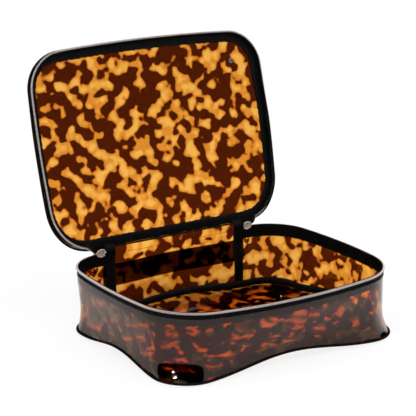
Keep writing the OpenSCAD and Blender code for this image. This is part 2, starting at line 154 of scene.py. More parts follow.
# Seen directly, the table is mostly its own white, so the shadow under the case stays as faint as in a
# cut-out picture
glow = paper.node_tree.nodes.new("ShaderNodeEmission")
seen = paper.node_tree.nodes.new("ShaderNodeLightPath")
share_of_glow = paper.node_tree.nodes.new("ShaderNodeMath")
share_of_glow.operation = "MULTIPLY"
share_of_glow.inputs[1].default_value = FLOOR_GLOW
both = paper.node_tree.nodes.new("ShaderNodeMixShader")
paper_links = paper.node_tree.links
paper_links.new(seen.outputs["Is Camera Ray"], share_of_glow.inputs[0])
paper_links.new(share_of_glow.outputs[0], both.inputs[0])
paper_links.new(paper_shader.outputs[0], both.inputs[1])
paper_links.new(glow.outputs[0], both.inputs[2])
paper_links.new(both.outputs[0], paper.node_tree.nodes["Material Output"].inputs["Surface"])
floor_mesh.materials.append(paper)


def lamp(name, place, aim, wide, high, watts):
    """A softbox that faces the point aim. Lengths are in metres."""
    data = bpy.data.lights.new(name, "AREA")
    data.shape, data.size, data.size_y, data.energy = "RECTANGLE", wide, high, watts
    made = bpy.data.objects.new(name, data)
    bpy.context.scene.collection.objects.link(made)
    made.location = place
    made.rotation_euler = (Vector(aim) - Vector(place)).to_track_quat("-Z", "Y").to_euler()


lamp("key_left", (-2.08, -0.88, 1.6), (-0.06, 0, 0.05), 0.2, 0.14, 16)
lamp("fill_right", (1.9, -1.1, 1.3), (0, 0, 0.1), 0.35, 0.35, 12)
lamp("glint_low", (-2.0, -0.79, 0.9), (-0.12, -0.08, 0.01), 0.12, 0.09, 7)
print("floor", 2 * FLOOR_HALF, "m wide")

# %% [markdown]
# ## The case's own lines
# The pattern maker draws three outlines: the zip round the open rim, the zip round the lid, and the bottom
# edge. Each has a straight back, bowed sides and round corners. The same outlines are repeated here from
# the CAD source with many more steps, so that every sheet is smooth and still lies where the frame has it.

# %% Sizes of the case
CASE_W, RIM_FRONT_W, CASE_D, RIM_H = 275, 278, 207, 70
FRONT_CORNER_R, BACK_CORNER_R, SIDE_BOW, FRONT_BOW, RIM_LEAN = 62, 47, 3.5, 9, 10
VINYL_T = 1.0
FOOT_W, FOOT_FRONT_W, FOOT_D, FOOT_CORNER_R, FOOT_WAIST = 260, 268, 193, 34, 4
SEAM_H, SEAM_RISE, FLARE_H, FLOOR_BORDER, PIPING_D = 2.75, 7.5, 20, 28, 2.4
LID_OPEN, HINGE_UP, HINGE_BACK, SEAM_IN, SPINE_BULGE, FOLD_HALF = 105, 1.1, 1.8, 12, 6, 3.6
LID_H, LID_FRONT_W, LID_CORNER_R, LID_SIDE_BOW, LID_BOW, LID_SHORT = 6, 279, 40, 1.5, 3, 2.5
STRAP_W, STRAP_Z, STRAP_T, STRAP_TAIL = 22, 33, 1.4, 8
RIBBON_W, RIBBON_T, LID_RIBBON_W, ROLL_H, ROLL_T = 11, 0.9, 7.4, 8, 5
ZIP_GAP, COIL_H, COIL_T, TAPE_T, TAPE_W, TAPE_SHOW, COIL_PROUD = 1.4, 2.6, 2.2, 0.6, 14, 6.5, 1.2
SEAT = 0.05
FRONT_Y, BACK_Y = -CASE_D / 2, CASE_D / 2
SEAM_X = CASE_W / 2 - BACK_CORNER_R - SEAM_IN
HINGE_Y, HINGE_Z = BACK_Y + HINGE_BACK, RIM_H + HINGE_UP
FOLD_LOW, FOLD_HIGH = RIM_H - FOLD_HALF, RIM_H + FOLD_HALF
UPRIGHT_Z = RIM_H - TAPE_W - 2
WALL_OUT, WALL_IN = -COIL_PROUD, -COIL_PROUD - VINYL_T
TAPE_OUT = -COIL_T - SEAT
TAPE_IN = TAPE_OUT - TAPE_T
print("hinge line at y", HINGE_Y, "z", HINGE_Z)

# %% Outlines
ARC, SIDE, FRONT, SPINE = 40, 30, 60, 48  # steps in a corner, a side, the front and the spine
Outline = namedtuple("Outline", "back front back_r front_r side_turn front_turn back_turn splay")


def side_turn(bow, run, r):
    a = math.atan(2 * bow / run)
    return math.atan(2 * bow / (run + r * math.sin(a)))


def outline(wb, wf, y0, y1, rb, rf, bow_s, bow_f, bow_b):
    """An outline wb wide at its back y1 and wf at its front y0, with round corners and bowed runs."""
    ts = side_turn(bow_s, (y1 - y0 - rb - rf) / 2, (rb + rf) / 2)
    tf = side_turn(bow_f, wf / 2 - rf, rf)
    tb = side_turn(bow_b, wb / 2 - rb, rb)
    b = np.array((wb / 2 - rb, y1 - bow_b - rb * math.cos(tb)))
    f = np.array((wf / 2 - rf, y0 + bow_f + rf * math.cos(tf)))
    splay = math.atan((f[0] - b[0]) / (b[1] - f[1])) + math.asin((rf - rb) / np.linalg.norm(b - f))
    return Outline(b, f, rb, rf, ts, tf, tb, splay)


def corner_arc(c, r, start, end):
    a = np.linspace(start, end, ARC + 1)
    return np.stack((c[0] + r * np.cos(a), c[1] + r * np.sin(a)), 1)


def bowed(p, q, turn, steps):
    """Points between p and q on a shallow bow that leaves both at an angle."""
    half = (q - p) / 2
    t = (2 * np.arange(1, steps) / steps - 1)[:, None]
    return (p + q) / 2 + half * t + np.array((half[1], -half[0])) * (1 - t * t) * math.tan(turn) / 2


def plan(data, o):
    """An outline's closed line moved outward by o: right seam, spine, left, front and right."""
    b, f, rb, rf, ts, tf, tb, splay = data
    rb, rf = rb + o, rf + o
    run = b[0] + rb * math.sin(tb)
    back_y = b[1] + rb * math.cos(tb)
    quarter = math.pi / 2
    lb = corner_arc((-b[0], b[1]), rb, quarter + tb, 2 * quarter - ts - splay)
    lf = corner_arc((-f[0], f[1]), rf, 2 * quarter + ts - splay, 3 * quarter - tf)
    xs = np.linspace(SEAM_X, -SEAM_X, SPINE + 1)
    xs = np.concatenate((xs, -SEAM_X - np.array((RIBBON_W / 2, STRAP_TAIL, (STRAP_TAIL + SEAM_IN) / 2))))
    spine = np.stack((xs, back_y + run * math.tan(tb) / 2 * (1 - (xs / run) ** 2)), 1)
    left = np.concatenate((lb, bowed(lb[-1], lf[0], ts, SIDE), lf))
    front = bowed(lf[-1], lf[-1] * (-1, 1), tf, FRONT)
    right = left[::-1] * (-1, 1)
    return np.concatenate((spine, left, front, right, spine[SPINE + 3 : SPINE : -1] * (-1, 1)))


rim_sizes = CASE_W, RIM_FRONT_W, FRONT_Y - RIM_LEAN, BACK_Y, BACK_CORNER_R, FRONT_CORNER_R
rim_data = outline(*rim_sizes, SIDE_BOW, FRONT_BOW, 0)
lid_sizes = CASE_W, LID_FRONT_W, FRONT_Y + LID_SHORT, BACK_Y, BACK_CORNER_R, LID_CORNER_R
lid_data = outline(*lid_sizes, LID_SIDE_BOW, LID_BOW, 0)
foot_sizes = FOOT_W, FOOT_FRONT_W, -FOOT_D / 2, FOOT_D / 2, FOOT_CORNER_R, FOOT_CORNER_R
foot_data = outline(*foot_sizes, 0, -FOOT_WAIST, -FOOT_WAIST)
rim0 = plan(rim_data, 0)
COUNT = len(rim0)
LEFT_RIBBON, LEFT_CORNER = SPINE + 1, SPINE + 4
outward = plan(rim_data, 1) - rim0
outward /= np.linalg.norm(outward, axis=1)[:, None]


def along(line):
    """Length along a closed line at each of its points, and at its first point again."""
    return np.concatenate(([0], np.cumsum(np.linalg.norm(np.roll(line, -1, 0) - line, axis=1))))


# Sewn to its ribbon, the lid's sheet stands out past its zip: most in the back corners, not at all in front
spots = np.array((0, 0.5, 1, 1, 1)) * ARC + np.array((0, 0, 0, 0.5, 1)) * SIDE + LEFT_CORNER
place = np.arange(COUNT)
mirrored_place = (SPINE - place) % COUNT


def eased(at, pushes):
    """A push at each place of the ring that goes smoothly from spot to spot."""
    step = np.clip(np.searchsorted(spots, at, "right") - 1, 0, len(spots) - 2)
    t = np.clip((at - spots[step]) / (spots[step + 1] - spots[step]), 0, 1)
    low, high = np.array(pushes)[step], np.array(pushes)[step + 1]
    return low + (high - low) * (1 - np.cos(np.pi * t)) / 2


lid_outward = plan(lid_data, 1) - plan(lid_data, 0)
lid_outward /= np.linalg.norm(lid_outward, axis=1)[:, None]
lid_ease = eased(place, (0, 1.7, 1.1, 0.6, 0)) + eased(mirrored_place, (0, 2.8, 2.6, 2.4, 0))
lid_ease -= 1.2 * np.clip(-lid_outward[:, 1], 0, 1) ** 2


def lid_edge(o):
    return plan(lid_data, o) + lid_outward * lid_ease[:, None]


print("points in the ring:", COUNT, "length of the rim:", round(along(rim0)[-1]), "mm")

# %% The wall's surface
foot_edge = plan(foot_data, WALL_OUT)


def bump(u):
    return np.where(np.abs(u) < 1, (1 + np.cos(np.pi * u)) / 2, 0)


def smooth(t):
    return t * t * (3 - 2 * t)


seam_rise = bump(foot_edge[:, 0] / foot_data.back[0]) + bump(foot_edge[:, 1] / foot_data.back[1])
seam_z = SEAM_H + SEAM_RISE * seam_rise
LIP, LIP_H, DRAWN_END = 2.6, 24, 64
drawn = outward[:, :1] - 1.0  # nothing at the right side, 2 mm inward at the left


def bridged(values, near=8):
    """Each point's mean with its neighbours in the ring: soft sheet bridges a sudden bend."""
    return sum(np.roll(values, k, 0) for k in range(-near, near + 1)) / (2 * near + 1)


corner_share = bridged(np.clip(1 - seam_rise, 0, 1) ** 0.6, 14)


def lip(up):
    """How far the sheet stands off the CAD wall in a corner: drawn in above, flared out towards the floor."""
    flare = drawn + (LIP - drawn) * (1 - np.clip(up / LIP_H, 0, 1)) ** 2
    back = drawn * (1 - smooth(np.clip((up - LIP_H) / (DRAWN_END - LIP_H), 0, 1)))
    return corner_share[:, None] * np.where(up < LIP_H, flare, back)


def foot_line(o, share=1.0):
    """The bottom edge moved outward by o, with a share of its flare."""
    return plan(foot_data, o) + outward * lip(np.zeros((COUNT, 1))) * share


def wall(o, heights):
    """Points of the wall moved outward by o. heights above the floor has one row per point of the ring."""
    rim, foot = plan(rim_data, o)[:, None], plan(foot_data, o)[:, None]
    base = seam_z[:, None]
    reach = bridged(foot - rim)
    up = heights - base
    out = (reach * outward[:, None]).sum(2)
    corner = np.maximum(0, 1 - up / FLARE_H) ** 2
    slant = np.maximum(0, 1 - up / (UPRIGHT_Z - base))
    inner = smooth(np.clip(0.5 - out / FLARE_H, 0, 1))
    share = corner + (slant - corner) * inner
    p = rim + reach * share[..., None] + outward[:, None] * lip(up)[..., None]
    rise = np.clip(up / (FOLD_LOW - base), 0, 1)
    bulge = SPINE_BULGE * bump(p[..., 0] / SEAM_X) * np.sin(np.pi * rise) * (p[..., 1] > 0)
    return np.stack((p[..., 0], p[..., 1] + bulge, heights + 0 * p[..., 0]), -1)


def wall_heights(low, high, steps, ease=1.6):
    """Heights from low (above the seam) to high (above the floor), closer together near the floor."""
    t = np.linspace(0, 1, steps + 1) ** ease
    return (seam_z[:, None] + low) * (1 - t) + high * t


def lid_pose(points, share=1.0):
    """Turns points of the closed case with the lid by a share of its opening."""
    a = math.radians(LID_OPEN) * np.asarray(share)
    y, z = points[..., 1] - HINGE_Y, points[..., 2] - HINGE_Z
    return np.stack(
        (points[..., 0], HINGE_Y + y * np.cos(a) + z * np.sin(a), HINGE_Z - y * np.sin(a) + z * np.cos(a)), -1
    )


print("seam height from", round(float(seam_z.min()), 2), "to", round(float(seam_z.max()), 2), "mm")

# %% [markdown]
# ## From rows of points to a piece
# Sheets, ribbons and cords are all the same thing to a modeller: one cross section carried along a line.
# Blender can do it with a curve and a bevel object, but a soft case changes its section all the way, so the
# sections are written out and joined here. Each corner of a face also gets its place on the flat cloth, in
# metres, as its UV. A printed or woven pattern that follows it keeps its size and bends with the piece.

# %% Sections joined into a solid
def joined(sections, cloth, closed=False):
    """Vertices, faces and UVs of sections (n, p, 3) in a row. cloth (n + closed, p + 1, 2) is in mm."""
    n, p = sections.shape[:2]
    spans = n if closed else n - 1
    i, j = (g.ravel() for g in np.meshgrid(np.arange(spans), np.arange(p), indexing="ij"))
    i2, j2 = (i + 1) % n, (j + 1) % p
    quads = np.stack((i * p + j, i * p + j2, i2 * p + j2, i2 * p + j), 1)
    uv = np.stack((cloth[i, j], cloth[i, j + 1], cloth[i + 1, j + 1], cloth[i + 1, j]), 1)
    faces, uvs = quads.tolist(), uv.reshape(-1, 2).tolist()
    if not closed:
        faces += [list(range(p))[::-1], [(n - 1) * p + k for k in range(p)]]
        uvs += cloth[0, :p][::-1].tolist() + cloth[-1, :p].tolist()
    return facing_out(sections.reshape(-1, 3), faces, uvs)


def facing_out(verts, faces, uvs):
    """Turns every face over where the solid would be inside out, which glass shows as a mirror."""
    triangles = np.array([(face[0], face[k], face[k + 1]) for face in faces for k in range(1, len(face) - 1)])
    a, b, c = (verts[triangles[:, k]] for k in range(3))
    if (a * np.cross(b, c)).sum() > 0:
        return verts, faces, uvs
    turned, start = [], 0
    for face in faces:
        turned += uvs[start : start + len(face)][::-1]
        start += len(face)
    return verts, [face[::-1] for face in faces], turned


def piece(name, parts, body, nodes, material, sharp=50):
    """One object out of several joined() parts, riding on a body and standing for CAD nodes."""
    verts, faces, uvs, start = [], [], [], 0
    for v, f, u in parts:
        verts.append(v)
        faces += [[k + start for k in face] for face in f]
        uvs += u
        start += len(v)
    mesh = bpy.data.meshes.new(name)
    mesh.from_pydata((np.concatenate(verts) / 1000).tolist(), [], faces)
    layer = mesh.uv_layers.new(name="cloth")
    layer.data.foreach_set("uv", (np.array(uvs) / 1000).ravel())
    mesh.polygons.foreach_set("use_smooth", [True] * len(mesh.polygons))
    mesh.set_sharp_from_angle(angle=math.radians(sharp))
    made = bpy.data.objects.new(name, mesh)
    bpy.context.scene.collection.objects.link(made)
    mesh.materials.append(material)
    if body:
        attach(made, body)
    if nodes:
        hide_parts(*nodes)
    print(name, len(mesh.polygons), "faces")
    return made


def sheet(outer, inner, u, v, closed=False):
    """A sheet between two grids (n, m, 3). u (n + closed) runs along it, and v (n + closed, m) across."""
    sections = np.concatenate((outer, inner[:, ::-1]), 1)
    across = np.concatenate((v, v[:, ::-1], v[:, :1]), 1)
    cloth = np.stack((np.broadcast_to(u[:, None], across.shape), across), -1)
    return joined(sections, cloth, closed)


def cord(centres, out, up, rx, rz, sides, closed=False):
    """A cord of oval section: centres (n, 3), and at each one its outward and its upward direction."""
    a = 2 * np.pi * np.arange(sides + 1) / sides
    level = 0 * centres[:, 0]
    x, z = np.multiply.outer(rx + level, np.cos(a[:-1])), np.multiply.outer(rz + level, np.sin(a[:-1]))
    sections = centres[:, None] + out[:, None] * x[..., None] + up[:, None] * z[..., None]
    u = along(centres)[: len(centres) + closed]
    v = a * (np.max(rx) + np.max(rz)) / 2
    cloth = np.stack(np.broadcast_arrays(u[:, None], v[None]), -1)
    return joined(sections, cloth, closed)


def flat3(line, z):
    """A line (n, 2) at height z."""
    return np.column_stack((line, np.broadcast_to(z, len(line))))


def spread3(ways):
    """Level directions (n, 2) in space."""
    return np.column_stack((ways, np.zeros(len(ways))))


print("tools: joined, piece, sheet, cord")

# %% [markdown]
# ## Tortoiseshell
# Tortoiseshell vinyl is clear amber sheet with dark brown blotches printed through it. The blotches have
# round ends and narrow necks, they run into each other, and they cover a little more than half of the
# sheet. Cells give a pavement and fine noise gives clouds. One soft noise cut at its middle gives blotches
# that interlock as they should, a second one half its size adds the small islands, and bending the place
# first breaks up their even spacing. A ramp takes the height above the cut from dark brown over orange to
# yellow, and slow clouds pull parts of it back to orange.

# %% A node group in a few words
def group(name, inputs, outputs):
    """A new node group with its input and output nodes. An input has a name, a kind and a value or None."""
    tree = bpy.data.node_groups.new(name, "ShaderNodeTree")
    for label, kind, value in inputs:
        made = tree.interface.new_socket(name=label, in_out="INPUT", socket_type="NodeSocket" + kind)
        if value is not None:
            made.default_value = value
    for label, kind in outputs:
        tree.interface.new_socket(name=label, in_out="OUTPUT", socket_type="NodeSocket" + kind)
    return tree, tree.nodes.new("NodeGroupInput"), tree.nodes.new("NodeGroupOutput")


def math_node(tree, kind, a, b=None, clamp=False):
    node = tree.nodes.new("ShaderNodeMath")
    node.operation, node.use_clamp = kind, clamp
    for k, value in enumerate((a, b)):
        if isinstance(value, (int, float)):
            node.inputs[k].default_value = value
        elif value is not None:
            tree.links.new(value, node.inputs[k])
    return node.outputs[0]


def noise(tree, place, scale, detail):
    node = tree.nodes.new("ShaderNodeTexNoise")
    node.inputs["Scale"].default_value = scale
    node.inputs["Detail"].default_value = detail
    tree.links.new(place, node.inputs["Vector"])
    return node


def ramp(tree, factor, stops):
    """Colours that follow a factor. Each stop has a position and a colour."""
    node = tree.nodes.new("ShaderNodeValToRGB")
    colours = node.color_ramp
    colours.elements[0].position, colours.elements[0].color = stops[0][0], (*stops[0][1], 1)
    colours.elements[1].position, colours.elements[1].color = stops[-1][0], (*stops[-1][1], 1)
    for place, colour in stops[1:-1]:
        colours.elements.new(place).color = (*colour, 1)
    tree.links.new(factor, node.inputs[0])
    return node.outputs[0]


print("helpers for node groups are ready")

# %% The tortoiseshell group
shell_tree, shell_in, shell_out = group(
    "tortoiseshell",
    [("Place", "Vector", None), ("Shift", "Vector", None), ("Dark Share", "Float", 0.0)],
    [("Colour", "Color")],
)
moved = shell_tree.nodes.new("ShaderNodeVectorMath")
shell_tree.links.new(shell_in.outputs["Place"], moved.inputs[0])
shell_tree.links.new(shell_in.outputs["Shift"], moved.inputs[1])
moved = moved.outputs[0]
shell_math, shell_noise = partial(math_node, shell_tree), partial(noise, shell_tree)
BEND_SCALE, BLOTCH_SCALE, ISLAND_SCALE, CELL_SCALE, CLOUD_SCALE = 100, 80, 150, 118, 60  # per metre
BEND = 0.0062  # metres
bend = shell_noise(moved, BEND_SCALE, 0.5)
bent = shell_tree.nodes.new("ShaderNodeVectorMath")
bent.operation = "MULTIPLY_ADD"
shell_tree.links.new(bend.outputs["Color"], bent.inputs[0])
bent.inputs[1].default_value = (BEND, BEND, BEND)
shell_tree.links.new(moved, bent.inputs[2])
bent = bent.outputs[0]


def share(value, middle, times, clamp=False):
    """How far a noise value lies from its middle, times a factor."""
    return shell_math("MULTIPLY", shell_math("SUBTRACT", value, middle, clamp), times)


cells = shell_tree.nodes.new("ShaderNodeTexVoronoi")
cells.feature = "SMOOTH_F1"
cells.inputs["Scale"].default_value = CELL_SCALE
cells.inputs["Smoothness"].default_value = 0.6
shell_tree.links.new(bent, cells.inputs["Vector"])
cell_tone = shell_tree.nodes.new("ShaderNodeSeparateColor")
shell_tree.links.new(cells.outputs["Color"], cell_tone.inputs[0])
islands = shell_noise(moved, ISLAND_SCALE, 0.0).outputs["Fac"]
height = shell_noise(bent, BLOTCH_SCALE, 0.5).outputs["Fac"]
height = shell_math("ADD", height, share(islands, 0.5, 0.26))
height = shell_math("ADD", height, share(cell_tone.outputs[0], 0.5, 0.12))
height = shell_math("SUBTRACT", height, shell_in.outputs["Dark Share"])
CUT, FADE, ORANGE = 0.487, 0.21, 0.32  # where a blotch ends, its soft edge, and the ramp's orange
over = shell_math("DIVIDE", shell_math("SUBTRACT", height, CUT), FADE)
cloud = share(shell_noise(moved, CLOUD_SCALE, 1.5).outputs["Fac"], 0.44, 2.4, True)
tone = shell_math("MAXIMUM", shell_math("MINIMUM", over, ORANGE), shell_math("SUBTRACT", over, cloud))
shell_colour = ramp(
    shell_tree,
    tone,
    [
        (0.0, (0.073, 0.0100, 0.0012)),
        (0.05, (0.16, 0.028, 0.002)),
        (0.14, (0.52, 0.135, 0.011)),
        (ORANGE, (0.71, 0.26, 0.026)),
        (0.60, (0.82, 0.36, 0.052)),
        (0.95, (0.88, 0.44, 0.080)),
    ],
)
shell_tree.links.new(shell_colour, shell_out.inputs["Colour"])
print("tortoiseshell group:", len(shell_tree.nodes), "nodes")

# %% [markdown]
# ## Weave and handling
# Ribbon, zip tape and webbing are all woven: ribs across the band, and finer threads that step from rib to
# rib. One group draws both from the flat cloth, and each cloth only sets its rib width and slant. The cloth's
# colour is painted darker in the valleys between ribs and threads, which is painted shade, and slow noise
# fades it at random. Shiny sheet, nylon and metal share another effect, the uneven dulling that hands leave.
# It goes to their roughness alone, as on the real thing.

# %% The woven group
woven_tree, woven_in, woven_out = group(
    "woven",
    [("Place", "Vector", None), ("Rib", "Float", 0.001), ("Slant", "Float", 0.0), ("Fuzz", "Float", 0.3)],
    [("Height", "Float"), ("Shade", "Float")],
)
axes = woven_tree.nodes.new("ShaderNodeSeparateXYZ")
woven_tree.links.new(woven_in.outputs["Place"], axes.inputs[0])
woven_math, woven_noise = partial(math_node, woven_tree), partial(noise, woven_tree)
LINT_SCALE, FADED_SCALE = 2600, 90  # per metre
THREAD_SHARE, THREAD_DEPTH = 0.55, 0.35  # a thread's width over a rib's, and how deep it lies
slanted = woven_math("MULTIPLY", axes.outputs[1], woven_in.outputs["Slant"])
slanted = woven_math("ADD", axes.outputs[0], slanted)
rib_count = woven_math("DIVIDE", slanted, woven_in.outputs["Rib"])
rib = woven_math("ABSOLUTE", woven_math("SINE", woven_math("MULTIPLY", rib_count, math.pi)))
stagger = woven_math("MULTIPLY", woven_math("ROUND", rib_count), math.pi / 2)
crossing = woven_math("DIVIDE", axes.outputs[1], woven_in.outputs["Rib"])
crossing = woven_math("MULTIPLY", crossing, math.pi / THREAD_SHARE)
thread = woven_math("ABSOLUTE", woven_math("SINE", woven_math("ADD", crossing, stagger)))
thread = woven_math("ADD", woven_math("MULTIPLY", thread, THREAD_DEPTH), 1 - THREAD_DEPTH)
lint = woven_noise(woven_in.outputs["Place"], LINT_SCALE, 1.0).outputs["Fac"]
lint = woven_math("MULTIPLY", woven_math("SUBTRACT", lint, 0.5), woven_in.outputs["Fuzz"])
weave = woven_math("ADD", woven_math("MULTIPLY", rib, thread), lint)
faded = woven_noise(woven_in.outputs["Place"], FADED_SCALE, 2.0).outputs["Fac"]
woven_tree.links.new(weave, woven_out.inputs["Height"])
# Shade is painted shade, darker in the valleys between ribs and threads, times a random fading
woven_tree.links.new(woven_math("MULTIPLY", weave, faded, True), woven_out.inputs["Shade"])
print("woven group:", len(woven_tree.nodes), "nodes")

# %% The handled group
handled_tree, handled_in, handled_out = group(
    "handled", [("Place", "Vector", None), ("Size", "Float", 0.02)], [("Dulled", "Float")]
)
patches = handled_tree.nodes.new("ShaderNodeTexNoise")
patches.inputs["Detail"].default_value = 3.0
patches.inputs["Distortion"].default_value = 0.6
handled_tree.links.new(handled_in.outputs["Place"], patches.inputs["Vector"])
per_metre = math_node(handled_tree, "DIVIDE", 1.0, handled_in.outputs["Size"])
handled_tree.links.new(per_metre, patches.inputs["Scale"])
dulled = math_node(handled_tree, "SUBTRACT", patches.outputs["Fac"], 0.35, True)
handled_tree.links.new(math_node(handled_tree, "MULTIPLY", dulled, 2.5, True), handled_out.inputs["Dulled"])
print("handled group:", len(handled_tree.nodes), "nodes")


# %% A material that starts from the flat cloth
def material(name, on_object=False):
    made = bpy.data.materials.new(name)
    made.use_nodes = True
    tree = made.node_tree
    if on_object:
        place = tree.nodes.new("ShaderNodeTexCoord").outputs["Object"]
    else:
        cloth = tree.nodes.new("ShaderNodeUVMap")
        cloth.uv_map = "cloth"
        place = cloth.outputs[0]
    return made, tree, tree.nodes["Principled BSDF"], place


def use(tree, shared, **values):
    """A shared group in a material's tree, with a value or a socket for each input that is named."""
    node = tree.nodes.new("ShaderNodeGroup")
    node.node_tree = shared
    for label, value in values.items():
        socket = node.inputs[label.replace("_", " ")]
        if isinstance(value, bpy.types.NodeSocket):
            tree.links.new(value, socket)
        else:
            socket.default_value = value
    return node


def bumpy(tree, shader, height, distance):
    node = tree.nodes.new("ShaderNodeBump")
    node.inputs["Distance"].default_value = distance
    tree.links.new(height, node.inputs["Height"])
    tree.links.new(node.outputs[0], shader.inputs["Normal"])


def between(tree, factor, low, high):
    """A number that goes from low to high with a factor."""
    return math_node(tree, "ADD", math_node(tree, "MULTIPLY", factor, high - low), low)


# %% Vinyl sheet
def vinyl(name, shift, dark=0.0, swell_height=0.0004, ior=1.45, smooth_at=0.04):
    made, tree, shader, cloth = material(name)
    shell = use(tree, shell_tree, Place=cloth, Shift=shift, Dark_Share=dark)
    tree.links.new(shell.outputs["Colour"], shader.inputs["Base Color"])
    shader.inputs["Transmission Weight"].default_value = 1.0
    shader.inputs["IOR"].default_value = ior
    shader.inputs["Specular Tint"].default_value = (1.0, 0.82, 0.75, 1)
    dulled = use(tree, handled_tree, Place=cloth, Size=0.03).outputs["Dulled"]
    tree.links.new(between(tree, dulled, smooth_at, smooth_at + 0.05), shader.inputs["Roughness"])
    swell = noise(tree, cloth, 28, 1.0)
    bumpy(tree, shader, swell.outputs["Fac"], swell_height)
    return made


wall_vinyl = vinyl("vinyl_wall", (0.31, 0.12, 0), -0.025)
floor_vinyl = vinyl("vinyl_floor", (1.7, 0.6, 0.4), 0.0, 0.0002, 1.25)
fold_vinyl = vinyl("vinyl_fold", (0.31, 0.12, 0), -0.025, 0.0004, 1.1, 0.1)
spine_vinyl = vinyl("vinyl_spine", (0.31, 0.12, 0), -0.025, 0.0004, 1.1)
lid_vinyl = vinyl("vinyl_lid", (2.3, 1.9, 0.1), 0.0, 0.0002)
print("five vinyl materials")


# %% Woven cloths
def woven(name, dark, light, rib, slant, specular, relief):
    made, tree, shader, cloth = material(name)
    weave = use(tree, woven_tree, Place=cloth, Rib=rib, Slant=slant, Fuzz=0.35)
    # The colour runs from dark in the valleys to light on the rib crests: painted shade
    colour = ramp(tree, weave.outputs["Shade"], [(0.0, dark), (0.6, light)])
    tree.links.new(colour, shader.inputs["Base Color"])
    tree.links.new(between(tree, weave.outputs["Shade"], 0.75, 0.5), shader.inputs["Roughness"])
    shader.inputs["Specular IOR Level"].default_value = specular
    bumpy(tree, shader, weave.outputs["Height"], relief)
    return made


BLACK = (0.0008, 0.0008, 0.0008)
ribbon_cloth = woven("ribbon_cloth", BLACK, (0.0042, 0.0042, 0.0042), 0.0011, 0, 0.08, 0.00012)
webbing_cloth = woven("webbing_cloth", (0.085, 0.08, 0.062), (0.215, 0.2, 0.155), 0.0018, 0.9, 0.2, 0.0003)
tape_cloth = woven("tape_cloth", BLACK, (0.004, 0.004, 0.004), 0.0007, 0.6, 0.08, 0.00008)
thread_black = woven("thread_black", (0.002, 0.002, 0.002), (0.009, 0.009, 0.009), 0.0005, 1.5, 0.25, 0.00005)
core_thread = woven("core_thread", (0.05, 0.04, 0.037), (0.12, 0.095, 0.088), 0.0006, 1.2, 0.3, 0.00008)
print("five cloths")


# %% Nylon coil and metal
def hard(name, colour, worn, metallic, smooth_at, dull_at, patch, on_object):
    made, tree, shader, place = material(name, on_object)
    dulled = use(tree, handled_tree, Place=place, Size=patch).outputs["Dulled"]
    tree.links.new(ramp(tree, dulled, [(0.0, colour), (1.0, worn)]), shader.inputs["Base Color"])
    tree.links.new(between(tree, dulled, smooth_at, dull_at), shader.inputs["Roughness"])
    shader.inputs["Metallic"].default_value = metallic
    scratches = noise(tree, place, 900, 2.0)
    bumpy(tree, shader, scratches.outputs["Fac"], 0.00001)
    return made


coil_nylon = hard("coil_nylon", (0.64, 0.54, 0.51), (0.54, 0.45, 0.42), 0.3, 0.28, 0.42, 0.01, False)
satin_metal = hard("satin_metal", (0.8, 0.7, 0.665), (0.70, 0.59, 0.55), 0.45, 0.36, 0.5, 0.004, True)
dark_metal = hard("dark_metal", (0.22, 0.19, 0.165), (0.14, 0.12, 0.105), 1.0, 0.06, 0.18, 0.004, True)
print("coil, satin and dark metal")

# %% [markdown]
# ## The clear sheets
# The tray's side is one long strip of sheet from seam to seam, and the back wall with its fold and the
# strip on the lid is another. Each is built as a thin solid with an inner and an outer skin, not as a
# single surface, because light has to enter and leave real sheet for its gloss, its tint and its bright cut
# edges to come out right.

# %% Tray walls
rim_run = along(rim0)


def wall_sheet(h, keep, u):
    return sheet(wall(WALL_OUT, h)[keep], wall(WALL_IN, h)[keep], u, h[keep])


part = wall_sheet(
    wall_heights(0, RIM_H - TAPE_SHOW - 1.0, 36),
    np.concatenate((np.arange(SPINE, COUNT), [0])),
    rim_run[SPINE:],
)
piece("tray_wall", [part], "base", ["side_gusset"], wall_vinyl)
part = wall_sheet(wall_heights(0, FOLD_LOW, 36, 1.3), np.arange(SPINE + 1), rim_run[: SPINE + 1])
piece("tray_spine", [part], "base", ["spine_panel"], spine_vinyl)

# %% Spine fold
fold_t = np.linspace(0, 1, 21)
fold_z = FOLD_LOW + (FOLD_HIGH - FOLD_LOW) * fold_t


def upright(xs, o, zs):
    """Points (len(xs), len(zs), 3) of an upright plane behind the closed case, moved outward by o."""
    return np.stack(np.broadcast_arrays(xs[:, None], BACK_Y + o, zs[None]), -1)


def folded(xs, outer, inner, u):
    """A sheet that bends from upright to the opened lid."""
    skins = [lid_pose(upright(xs, o, fold_z), smooth(fold_t)[None]) for o in (outer, inner)]
    return sheet(*skins, u, np.broadcast_to(fold_z, (len(xs), len(fold_z))))


xs = np.linspace(SEAM_X, -SEAM_X, SPINE + 1)
part = folded(xs, WALL_OUT, WALL_IN, rim_run[: SPINE + 1])
fold = piece("spine_fold_sheet", [part], None, ["spine_fold"], fold_vinyl)
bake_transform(fold)

# %% Tray floor
border = np.linspace(0, 1, 13)
low = [
    flat3(foot_line(WALL_OUT - 0.2 - k * FLOOR_BORDER, 1 - k), (seam_z - SEAT - VINYL_T) * (1 - k**1.6))
    for k in border
]
low = np.array(low + [low[-1] * (k, k, 1) for k in (0.94, 0.8, 0.6, 0.35, 0.1)])
high = low + (0, 0, VINYL_T)
stack = np.concatenate((high[::-1], low))
cloth = np.concatenate((stack[..., :2], stack[:, :1, :2]), 1)
piece("tray_floor", [joined(stack, cloth)], "base", ["bottom_panel"], floor_vinyl)

